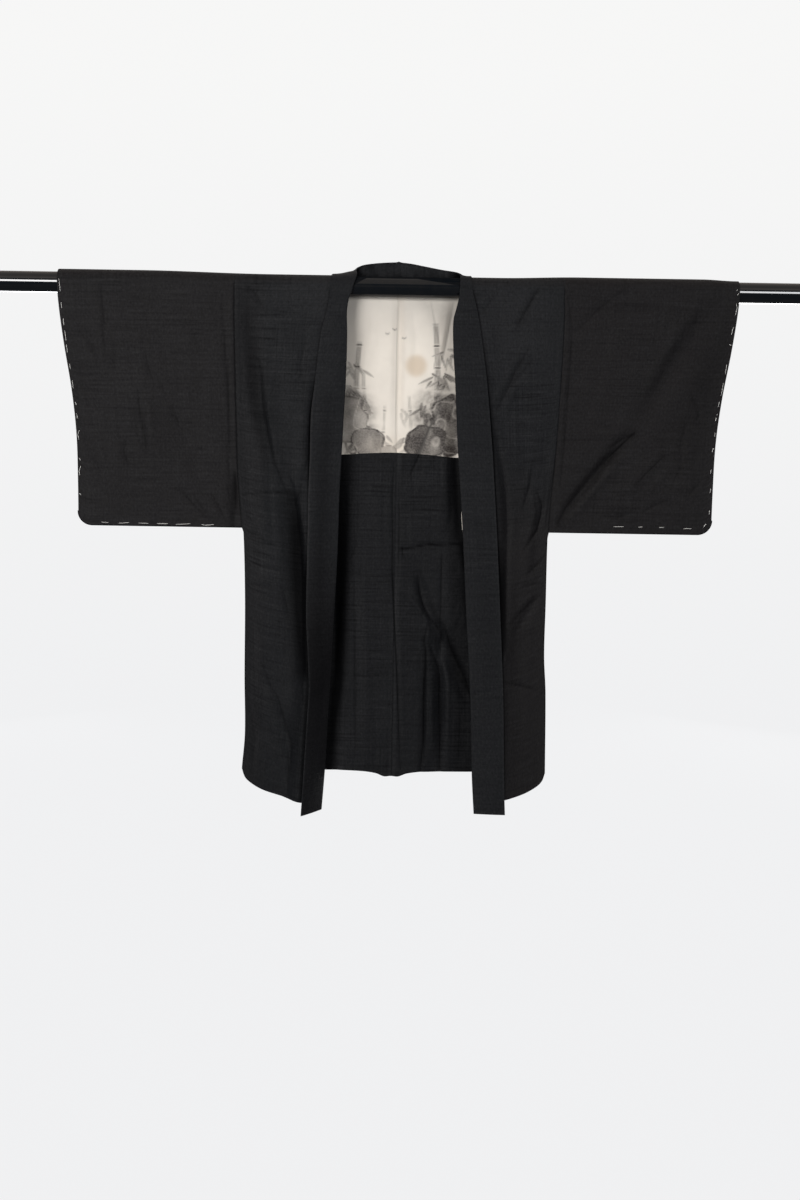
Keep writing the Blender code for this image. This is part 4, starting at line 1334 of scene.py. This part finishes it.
def make_strip():
    across, down = np.linspace(0, 1, 9), np.linspace(0, 1, 26)[:, None]
    drop = mix(STRIP_TOP, STRIP_BOTTOM, down)
    shows = STRIP_SHOWS * smooth(down * 2)
    depth = front_depth("right", front_edge("right", drop), drop)
    x = collar_at("right", drop, INNER) - shows + STRIP_WIDTH * across
    points = placed("right", x, -depth + WALL + LAYER, drop)
    bolt = np.stack([points[..., 0], -points[..., 2]], axis=-1)
    none = np.zeros(x.shape)
    return make_sheet("lining_silk_front", points, bolt, {"ink": none, "tan": none}, wall=LINING_SHEET)


cloth["lining_front"] = make_strip()

# %% [markdown]
# ## Basting stitches
# White cotton basting still holds the pressed edges of the sleeves. One stitch is modelled once:
# a six-sided cylinder, cut into short lengths, with its ends drawn in. Each copy is then bent
# along its own short path, with both ends dipping into the cloth.

# %% One stitch
THREAD = 0.35 * MM
RINGS = 8
bpy.ops.object.select_all(action="DESELECT")
bpy.ops.mesh.primitive_cylinder_add(vertices=6, radius=1.0, depth=1.0, end_fill_type="TRIFAN")
stitch = bpy.context.object
set_mode("EDIT")
for cut in range(1, RINGS):
    select_all("SELECT")
    bpy.ops.mesh.bisect(plane_co=(0, 0, cut / RINGS - 0.5), plane_no=(0, 0, 1))
set_mode("OBJECT")
one_stitch = np.empty(len(stitch.data.vertices) * 3)
stitch.data.vertices.foreach_get("co", one_stitch)
one_stitch = one_stitch.reshape(-1, 3)
print("one stitch has", len(stitch.data.polygons), "faces")


# %% Rows of stitches
def lay_stitch(path, surface, outward):
    """A copy of the stitch bent along a path of (x, drop) in mm, lying on surface(x, drop)."""
    path = np.array(path, float) * MM
    places = distances(path)
    point_at = lambda at: (np.interp(at, places, path[:, 0]), np.interp(at, places, path[:, 1]))
    share = one_stitch[:, 2] + 0.5
    at = share * places[-1]
    x, drop = point_at(at)
    ahead_x, ahead_d = point_at(np.minimum(at + 0.4 * MM, places[-1]))
    behind_x, behind_d = point_at(np.maximum(at - 0.4 * MM, 0))
    run_x, run_d = ahead_x - behind_x, ahead_d - behind_d
    length = np.hypot(run_x, run_d)
    from_end = np.minimum(share, 1 - share)
    thick = THREAD * (0.45 + 0.55 * smooth(5 * from_end))
    arch = THREAD * (-0.9 + 1.6 * smooth(9 * from_end))
    x = x + run_d / length * one_stitch[:, 0] * thick
    drop = drop - run_x / length * one_stitch[:, 0] * thick
    y = surface(x, drop) + outward * (arch + one_stitch[:, 1] * thick)
    copy = stitch.copy()
    copy.data = stitch.data.copy()
    bpy.context.collection.objects.link(copy)
    copy.data.vertices.foreach_set("co", np.stack([x, y, -drop], axis=-1).reshape(-1))
    return copy


def stitch_row(where, paths):
    """One piece of all the stitches of a row. where names its edge, its side and its face."""
    side = "left" if "left" in where else "right"
    face, outward = ("back", 1) if "behind" in where else ("front", -1)

    def surface(x, drop):
        sway, apart = sleeve_layers(side, np.abs(x), drop)
        return sway + outward * (apart[face] + CLOTH_WALL / 2)

    copies = [lay_stitch(path, surface, outward) for path in paths]
    bpy.ops.object.select_all(action="DESELECT")
    for copy in copies:
        copy.select_set(True)
    bpy.context.view_layer.objects.active = copies[0]
    bpy.ops.object.join()
    row = bpy.context.object
    row.name = row.data.name = f"basting_{where}"
    set_mode("EDIT")
    select_all("SELECT")
    bpy.ops.mesh.normals_make_consistent(inside=False)
    set_mode("OBJECT")
    bpy.ops.object.shade_smooth()
    print(f"{row.name}: {len(paths)} stitches")
    return row


CUFF_INSET = 0.9  # mm


def along_end(side, rows):
    """Paths down a sleeve's end, from rows of drops and distances in from the edge."""
    def place(drop, inset):
        return SIDES[side] * (float(read(SLEEVE_END, drop * MM)) / MM - CUFF_INSET - inset), drop

    return [[place(*point) for point in row] for row in rows]


LEFT_CUFF = path_table("""
-5,3 9,4 22,4.5 / 40,4.4 51,4.4 / 69,4.6 82,4.2 / 90,4.4 111,4 / 116,3.4 133,3 /
151,3.2 162,3 / 182,2.8 198,2.6 / 222,2.4 229,4.8 / 243,3 254,3.8 /
275,5.4 284,1.6 294,3.4 / 327,1.8 332,5 / 342,5.2 352,1.6 361,3.2 / 394,1.8 398,4.8
""")
RIGHT_CUFF = path_table("""
-3,4.4 0,5.1 / 4,1.8 8,3.6 / 22,5 31,1.9 45,3.6 / 65,4 80,5 / 97,5.6 99,1.8 /
133,3.4 152,2.6 / 167,3 178,1.8 193,2.8 / 202,3.4 213,4.2 / 225,3.2 228,3.8 /
232,4.6 239,4.9 / 260,3 269,2.8 / 298,4.4 292,4 289,2 293,1.6 / 330,4 338,5.2 /
366,3.4 375,4.4 / 407,3.6 416,4
""")
LEFT_HEM = path_table("""
-561,448.5 -546,449 / -529,450 -518,449.5 -506,448 / -489,449 -469,449.5 /
-455,449.5 -432,449.5 / -419,450.5 -406,450 -389,448.5 / -370,450 -360,451 -344,449.5
""")
RIGHT_HEM = path_table("""
416,441.5 438,441 / 464,441.5 473,441 / 504,441.5 514,441 / 550,443 567,442.5 /
588,440.5 594,432.5
""")
# Behind, the thread shows where it doesn't in front.
LEFT_CUFF_BEHIND = [24, 53, 135, 165, 200, 232, 256, 296, 334, 363, 402]
LEFT_CUFF_BEHIND = [[(drop, 3.5), (drop + 13, 4.0)] for drop in LEFT_CUFF_BEHIND]
RIGHT_CUFF_BEHIND = [47, 82, 101, 154, 214, 241, 271, 300, 340, 377]
RIGHT_CUFF_BEHIND = [[(drop, 4.0), (drop + 13, 3.4)] for drop in RIGHT_CUFF_BEHIND]
LEFT_HEM_BEHIND = [[(x, 449.5), (x + 12, 450)] for x in (-543, -504, -467, -431, -387)]
RIGHT_HEM_BEHIND = [[(x, 443), (x + 13, 442.5)] for x in (378, 442, 478, 520, 534)]

stitch_rows = {
    "cuff_left": along_end("left", LEFT_CUFF),
    "cuff_right": along_end("right", RIGHT_CUFF),
    "hem_left": LEFT_HEM,
    "hem_right": RIGHT_HEM,
    "cuff_left_behind": along_end("left", LEFT_CUFF_BEHIND),
    "cuff_right_behind": along_end("right", RIGHT_CUFF_BEHIND),
    "hem_left_behind": LEFT_HEM_BEHIND,
    "hem_right_behind": RIGHT_HEM_BEHIND,
}
stitches = [stitch_row(where, paths) for where, paths in stitch_rows.items()]
bpy.data.objects.remove(stitch, do_unlink=True)

# %% [markdown]
# ## Black silk
# The cloth is a plain weave of hand-drawn silk. Its weft has thick places, slubs, that run across
# the cloth as fine uneven bars, and its warp shows as faint upright lines. The material stretches
# a noise pattern along each thread's direction, on the bolt's own coordinates, and uses it both
# for the colour and for the height of the surface. Four attributes of the mesh steer it: `warmth`
# leads from blue-black to brown-black, `slub` says how plainly the bars show, a third pales two
# patches near the shoulders and holds painted highlights along the collar's free edge and beside
# the centre seam, and `shade` is painted shade, which takes colour, gloss and sheen away in the
# hollows and under the edges that lie close.

# %% Node helpers
class Nodes:
    """Adds nodes to one node tree, and hands back a socket of each node."""

    def __init__(self, tree):
        self.tree = tree

    def fill(self, node, **inputs):
        """Link or set a node's inputs, which go by name, or by number after an i."""
        for name, value in inputs.items():
            numbered = name[1:].isdigit()
            socket = node.inputs[int(name[1:]) if numbered else name.replace("_", " ")]
            if isinstance(value, bpy.types.NodeSocket):
                self.tree.links.new(value, socket)
            else:
                socket.default_value = value

    def add(self, kind, output=0, settings=None, **inputs):
        node = self.tree.nodes.new("ShaderNode" + kind)
        for name, value in (settings or {}).items():
            setattr(node, name, value)
        self.fill(node, **inputs)
        return node.outputs[output]

    def mark(self, name):
        """An attribute of the mesh."""
        return self.add("Attribute", "Fac", {"attribute_name": name})

    def noise(self, place, scale, detail=2.0, rough=0.5):
        return self.add("TexNoise", "Fac", Vector=place, Scale=scale, Detail=detail, Roughness=rough)

    def threads(self, place, across, along, detail=2.0, rough=0.5):
        """Noise with its own scale across and along the cloth, in features a metre."""
        stretched = self.add("Mapping", Vector=place, Scale=(across, along, 1.0))
        return self.noise(stretched, 1.0, detail, rough)

    def fit(self, value, low, high, to_low=0.0, to_high=1.0):
        return self.add("MapRange", i0=value, i1=low, i2=high, i3=to_low, i4=to_high)

    def maths(self, operation, a, b=0.0):
        return self.add("Math", 0, {"operation": operation}, i0=a, i1=b)

    def times(self, a, b):
        return self.maths("MULTIPLY", a, b)

    def total(self, first, *others):
        """The sum of two or more values."""
        for other in others:
            first = self.maths("ADD", first, other)
        return first

    def blend(self, share, a, b):
        return self.add("Mix", 2, {"data_type": "RGBA"}, i0=share, i6=a, i7=b)

    def bump(self, height, strength, distance):
        return self.add("Bump", Strength=strength, Distance=distance, Height=height)


def new_finish(name):
    made = bpy.data.materials.new(name)
    made.use_nodes = True
    return made, Nodes(made.node_tree), made.node_tree.nodes["Principled BSDF"]


# %% Black silk
COOL_BLACK = (0.0060, 0.0065, 0.0077, 1.0)
WARM_BLACK = (0.0076, 0.0067, 0.0071, 1.0)
PALE_BLACK = (0.0150, 0.0153, 0.0166, 1.0)
DEEP_BLACK = (0.0026, 0.0027, 0.0032, 1.0)
# The colour that painted shade leads to.
PAINTED_SHADE_BLACK = (0.0012, 0.0012, 0.0014, 1.0)
SHINE, SHEEN = 0.11, 0.035


def make_black_silk():
    finish, nodes, shader = new_finish("slubbed_black_silk")
    bolt = nodes.add("UVMap", 0, {"uv_map": "bolt"})
    warmth, slub, pale_and_highlight, shade = [nodes.mark(name) for name in ("warmth", "slub", "pale_and_highlight", "shade")]
    bars = nodes.threads(bolt, 9.0, 240.0, 3.0, 0.6)
    slubs = nodes.threads(bolt, 26.0, 620.0)
    warp = nodes.threads(bolt, 330.0, 6.0)
    cloud = nodes.threads(bolt, 9.0, 7.0)
    crinkle = nodes.threads(bolt, 80.0, 60.0, 3.0, 0.6)
    streaks = nodes.threads(bolt, 110.0, 9.0, 3.0, 0.6)
    mottle = nodes.threads(bolt, 260.0, 170.0, 3.0, 0.65)
    along = {"bands_direction": "Y"}
    weft = nodes.add("TexWave", "Fac", along, Vector=bolt, Scale=420.0, Distortion=1.2)
    # Each thread's own mottle shows everywhere, the bars and streaks in patches.
    patch = nodes.times(slub, nodes.fit(cloud, 0.38, 0.62, 0.3, 1.0))
    pale = nodes.total(
        nodes.fit(bars, 0.54, 0.70, 0.0, 0.4),
        nodes.fit(slubs, 0.54, 0.72, 0.0, 0.5),
        nodes.fit(warp, 0.53, 0.72, 0.0, 0.32),
        nodes.fit(streaks, 0.53, 0.70, 0.0, 0.22),
    )
    dark = nodes.total(
        nodes.fit(bars, 0.46, 0.33, 0.0, 0.8),
        nodes.fit(warp, 0.47, 0.30, 0.0, 0.34),
        nodes.fit(streaks, 0.47, 0.32, 0.0, 0.28),
    )
    # The pale slubs, the paler patches and the painted highlights lead towards a paler black.
    pale = nodes.total(nodes.times(pale, patch), nodes.fit(mottle, 0.52, 0.70, 0.0, 0.42), pale_and_highlight)
    dark = nodes.total(nodes.times(dark, patch), nodes.fit(mottle, 0.48, 0.32, 0.0, 0.45))
    tone = nodes.blend(pale, nodes.blend(warmth, COOL_BLACK, WARM_BLACK), PALE_BLACK)
    tone = nodes.blend(dark, tone, DEEP_BLACK)
    # Painted shade: in the hollows the colour, gloss and sheen are darkened.
    tone = nodes.blend(nodes.times(shade, 0.85), tone, PAINTED_SHADE_BLACK)
    shine = nodes.fit(nodes.maths("SUBTRACT", pale, dark), -1.0, 1.0, SHINE * 0.66, SHINE * 1.34)
    height = nodes.total(
        nodes.times(bars, 0.4),
        nodes.times(slubs, 0.4),
        nodes.times(warp, 0.25),
        nodes.times(crinkle, 1.6),
        nodes.times(weft, 0.1),
    )
    nodes.fill(
        shader,
        Base_Color=tone,
        Specular_IOR_Level=nodes.times(shine, nodes.fit(shade, 0.0, 1.0, 1.0, 0.2)),
        Roughness=nodes.fit(bars, 0.35, 0.7, 0.62, 0.5),
        Sheen_Weight=nodes.fit(shade, 0.0, 1.0, SHEEN, SHEEN * 0.2),
        Sheen_Roughness=0.45,
        Sheen_Tint=(0.62, 0.66, 0.74, 1.0),
        Normal=nodes.bump(height, 0.5, 0.0011),
    )
    return finish


black_silk = make_black_silk()

# %% [markdown]
# ## Cream silk, thread and lacquer
# The lining is smooth cream silk. Its ink, tan and soft painted shade come from the mesh's attributes,
# and the ink is broken up by noise so that the strokes have the dry edges of a brush. The thread
# is matt white cotton. The rod is thick black gloss paint with a few hairline rubs. Its gloss has
# a painted highlight along the front of its open ends and painted shade under the collar.

# %% Cream silk
CREAM = (0.745, 0.69, 0.615, 1.0)
CREAM_DULL = (0.66, 0.61, 0.545, 1.0)
CREAM_PAINTED_SHADE = (0.05, 0.045, 0.04, 1.0)
TAN = (0.46, 0.33, 0.20, 1.0)
INK = (0.033, 0.026, 0.023, 1.0)


def make_cream_silk():
    finish, nodes, shader = new_finish("painted_cream_silk")
    bolt = nodes.add("UVMap", 0, {"uv_map": "bolt"})
    ink, tan, shade = [nodes.mark(name) for name in ("ink", "tan", "shade")]
    cloud = nodes.threads(bolt, 14.0, 12.0, 3.0, 0.6)
    grain = nodes.threads(bolt, 260.0, 300.0, 2.0, 0.6)
    weave = nodes.threads(bolt, 900.0, 120.0)
    ground = nodes.blend(nodes.fit(cloud, 0.35, 0.7, 0.0, 0.8), CREAM, CREAM_DULL)
    broken = nodes.times(ink, nodes.fit(grain, 0.3, 0.7, 0.92, 1.08))
    painted = nodes.blend(broken, nodes.blend(tan, ground, TAN), INK)
    height = nodes.total(nodes.times(weave, 0.3), nodes.times(cloud, 1.6))
    # Painted shade darkens the lining's colour.
    nodes.fill(
        shader,
        Base_Color=nodes.blend(nodes.times(shade, 0.95), painted, CREAM_PAINTED_SHADE),
        Roughness=0.58,
        Specular_IOR_Level=0.35,
        Sheen_Weight=0.12,
        Normal=nodes.bump(height, 0.4, 0.0008),
    )
    return finish


cream_silk = make_cream_silk()

# %% Thread and lacquer
COTTON, COTTON_PALE = (0.62, 0.61, 0.58, 1.0), (0.88, 0.87, 0.84, 1.0)
PAINT, PAINT_WORN = (0.0030, 0.0041, 0.0056, 1.0), (0.0085, 0.0085, 0.0088, 1.0)
# In metres on the rod: the edge of the painted shade on its gloss falls from one height to another
# between two places.
LEFT_EDGE, RIGHT_EDGE = (-0.080, -0.060, 0.0015, 0.0136), (0.036, 0.112, 0.0136, 0.0020)
# Where the gloss is painted: the middle and the ends of the neck, then the height and the band of the
# painted highlight along the rod's front.
NECK_MIDDLE, NECK_ENDS = 0.016, (0.112, 0.120)
FRONT_LINE, FRONT_BAND = 0.0012, (0.003, 0.006)


def make_thread():
    finish, nodes, shader = new_finish("white_cotton_thread")
    fuzz = nodes.noise(nodes.add("TexCoord", "Object"), 900.0)
    colour = nodes.blend(fuzz, COTTON, COTTON_PALE)
    bump = nodes.bump(fuzz, 0.5, 0.0002)
    nodes.fill(shader, Base_Color=colour, Roughness=0.8, Sheen_Weight=0.3, Normal=bump)
    return finish


def make_lacquer():
    finish, nodes, shader = new_finish("black_gloss_paint")
    place = nodes.add("TexCoord", "Object")
    along_rod, height = [nodes.add("SeparateXYZ", axis, Vector=place) for axis in ("X", "Z")]
    away_from = lambda value, middle: nodes.maths("ABSOLUTE", nodes.maths("SUBTRACT", value, middle))
    rubs = nodes.noise(nodes.add("Mapping", Vector=place, Scale=(1.5, 260.0, 260.0)), 1.0, 3.0)
    dust = nodes.noise(place, 60.0, 4.0)
    wear = nodes.fit(nodes.total(rubs, nodes.times(dust, 0.4)), 0.62, 0.95)
    # Painted shade in the gloss: inside the neck the rod's top mirrors less, as if the collar kept the
    # light off it, more so towards the neck's sides.
    lit_to = nodes.maths("MINIMUM", nodes.fit(along_rod, *LEFT_EDGE), nodes.fit(along_rod, *RIGHT_EDGE))
    over = nodes.fit(nodes.maths("SUBTRACT", height, lit_to), -0.0004, 0.0004)
    upper = nodes.fit(height, 0.002, 0.006, 0.0, 0.20)
    in_neck = nodes.fit(away_from(along_rod, NECK_MIDDLE), *NECK_ENDS, 1.0, 0.0)
    hidden = nodes.times(nodes.maths("MAXIMUM", over, upper), in_neck)
    # Painted highlight in the gloss: outside the neck the rod mirrors the lamps more strongly in a band
    # along its front.
    near_front = nodes.fit(away_from(height, FRONT_LINE), *FRONT_BAND, 1.0, 0.0)
    painted_lamp_highlight = nodes.times(near_front, nodes.maths("SUBTRACT", 1.0, in_neck))
    level = nodes.total(nodes.fit(hidden, 0.0, 1.0, 0.40, 0.0), nodes.times(painted_lamp_highlight, 0.42))
    nodes.fill(
        shader,
        Base_Color=nodes.blend(wear, PAINT, PAINT_WORN),
        Roughness=nodes.fit(wear, 0.0, 1.0, 0.045, 0.16),
        Specular_IOR_Level=level,
        Normal=nodes.bump(dust, 0.05, 0.0003),
    )
    return finish


thread, lacquer = make_thread(), make_lacquer()

# %% [markdown]
# ## Put the finishes on each piece
# Every cloth piece rides on the one body and replaces its solid. The stitches ride along as pieces
# of their own.

# %% Finishes, bodies and slots
for node_name, piece in cloth.items():
    is_lining = node_name.startswith("lining")
    piece.data.materials.append(cream_silk if is_lining else black_silk)
    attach(piece, "root")
    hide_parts(node_name)
for row in stitches:
    row.data.materials.append(thread)
    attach(row, "root")
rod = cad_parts["rod"]
for slot in rod.material_slots:
    slot.material = lacquer
print("triangles of cloth:", sum(2 * len(piece.data.polygons) for piece in cloth.values()))
print("triangles of thread:", sum(len(row.data.loops) - 2 * len(row.data.polygons) for row in stitches))

# %% The cut of each sheet
# In metres: each length's drop in front and behind, its run over the rod, and its width there.
FRONT_CUT, ROD_CUT, BACK_CUT, SHOULDER = 0.972, 0.066, 0.930, 0.185


def mean_width(side, depth, inner=lambda side, drop: 0.0):
    """The mean distance from an inner edge out to the side seam, down to a depth."""
    return float(np.mean([body_side(side, d) - inner(side, d) for d in np.linspace(0, depth, 40)]))


for side in SIDES:
    front, back = mean_width(side, 0.94, front_edge), mean_width(side, BACK_CUT)

# %% [markdown]
# ## Floor, backdrop and light
# The jacket hangs in the middle of a round pale studio: a floor that curves up into a wall, so
# that no line shows behind it from any side. The paper glows evenly by itself, a little less
# towards the floor, so the lamps leave no pools of light on it. The studio is only seen. It throws
# no light on the cloth, because black silk would mirror that much white and turn grey. The light
# comes from two soft lamps beside the camera, the left one stronger, a like pair behind, so that
# the back can be read too, a lamp above, and a warm sky like a lit ceiling.

# %% Round studio
FLOOR, STUDIO_RADIUS, STUDIO_HEIGHT, COVE = -1.53, 5.2, 8.0, 1.8
PAPER_DARK, PAPER = (0.004, 0.004, 0.004, 1.0), (0.006, 0.006, 0.006, 1.0)
GLOW_LOW, GLOW_HIGH, GLOW = (0.935, 0.939, 0.95, 1.0), (1.0, 1.0, 0.995, 1.0), 0.925
GLOW_FROM, GLOW_TO = -1.5, 2.2


bpy.ops.object.select_all(action="DESELECT")
bpy.ops.mesh.primitive_cylinder_add(
    vertices=128,
    radius=STUDIO_RADIUS,
    depth=STUDIO_HEIGHT,
    location=(0, 0, FLOOR + STUDIO_HEIGHT / 2),
)
studio = bpy.context.object
studio.name = "studio"
bpy.ops.object.transform_apply(location=True, rotation=False, scale=False)
set_mode("EDIT")
select_all("DESELECT")
set_mode("OBJECT")
for face in studio.data.polygons:
    face.select = face.normal.z > 0.9
set_mode("EDIT")
bpy.ops.mesh.delete(type="FACE")
set_mode("OBJECT")
for edge in studio.data.edges:
    edge.select = all(studio.data.vertices[i].co.z < FLOOR + 0.01 for i in edge.vertices)
set_mode("EDIT")
bpy.ops.mesh.select_mode(type="EDGE")
bpy.ops.mesh.bevel(offset=COVE, segments=16, affect="EDGES")
select_all("SELECT")
bpy.ops.mesh.flip_normals()
set_mode("OBJECT")
bpy.ops.object.shade_smooth()
print("studio:", len(studio.data.polygons), "faces")

paper, nodes, shader = new_finish("pale_paper")
place = nodes.add("TexCoord", "Object")
up_wall = nodes.add("SeparateXYZ", "Z", Vector=place)
nodes.fill(
    shader,
    Base_Color=nodes.blend(nodes.noise(place, 1.3), PAPER_DARK, PAPER),
    Roughness=0.9,
    Specular_IOR_Level=0.0,
    Emission_Color=nodes.blend(nodes.fit(up_wall, GLOW_FROM, GLOW_TO), GLOW_LOW, GLOW_HIGH),
    Emission_Strength=GLOW,
)
studio.data.materials.append(paper)
studio.visible_diffuse = studio.visible_glossy = studio.visible_shadow = False
studio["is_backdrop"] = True


# %% Lamps
def add_lamp(name, place, aim, width, height, watts, colour):
    direction = np.array(aim) - np.array(place)
    bpy.ops.object.light_add(type="AREA", location=place)
    lamp = bpy.context.object
    lamp.name = name
    tip = math.atan2(math.hypot(direction[0], direction[1]), -direction[2])
    lamp.rotation_euler = (tip, 0.0, math.atan2(direction[1], direction[0]) - math.pi / 2)
    lamp.data.shape = "RECTANGLE"
    lamp.data.size, lamp.data.size_y = width, height
    lamp.data.energy = watts
    lamp.data.color = colour
    lamp.visible_camera = False
    return lamp


add_lamp("left_lamp", (-1.80, -3.3, -0.12), (0, 0, -0.25), 1.5, 1.25, 91, (1.0, 0.99, 0.98))
add_lamp("right_lamp", (1.88, -3.3, -0.12), (0, 0, -0.25), 1.0, 1.25, 44, (0.97, 0.985, 1.0))
unseen = add_lamp("top_lamp", (-0.4, -1.3, 2.9), (0, 0, -0.4), 2.0, 1.4, 42, (1.0, 0.985, 0.96))
unseen.visible_glossy = False
add_lamp("back_left_lamp", (1.9, 3.3, -0.4), (0, 0, -0.4), 1.4, 2.0, 120, (1.0, 0.99, 0.98))
add_lamp("back_right_lamp", (-1.9, 3.3, -0.4), (0, 0, -0.4), 1.0, 2.0, 62, (0.97, 0.985, 1.0))

# %% Sky
SKY_WARM, SKY_DIM = (0.62, 0.555, 0.50, 1.0), (0.105, 0.11, 0.12, 1.0)
sky = bpy.data.worlds.new("studio_sky")
bpy.context.scene.world = sky
sky.use_nodes = True
nodes = Nodes(sky.node_tree)
height = nodes.add("SeparateXYZ", "Z", Vector=nodes.add("TexCoord", "Generated"))
colour = nodes.blend(nodes.fit(height, 0.46, 0.54), SKY_DIM, SKY_WARM)
nodes.fill(sky.node_tree.nodes["Background"], Color=colour)
bpy.context.scene.view_settings.view_transform = "Standard"
bpy.context.scene.view_settings.look = "None"

# %% Sizes
shown_box = [list(corner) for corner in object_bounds()]
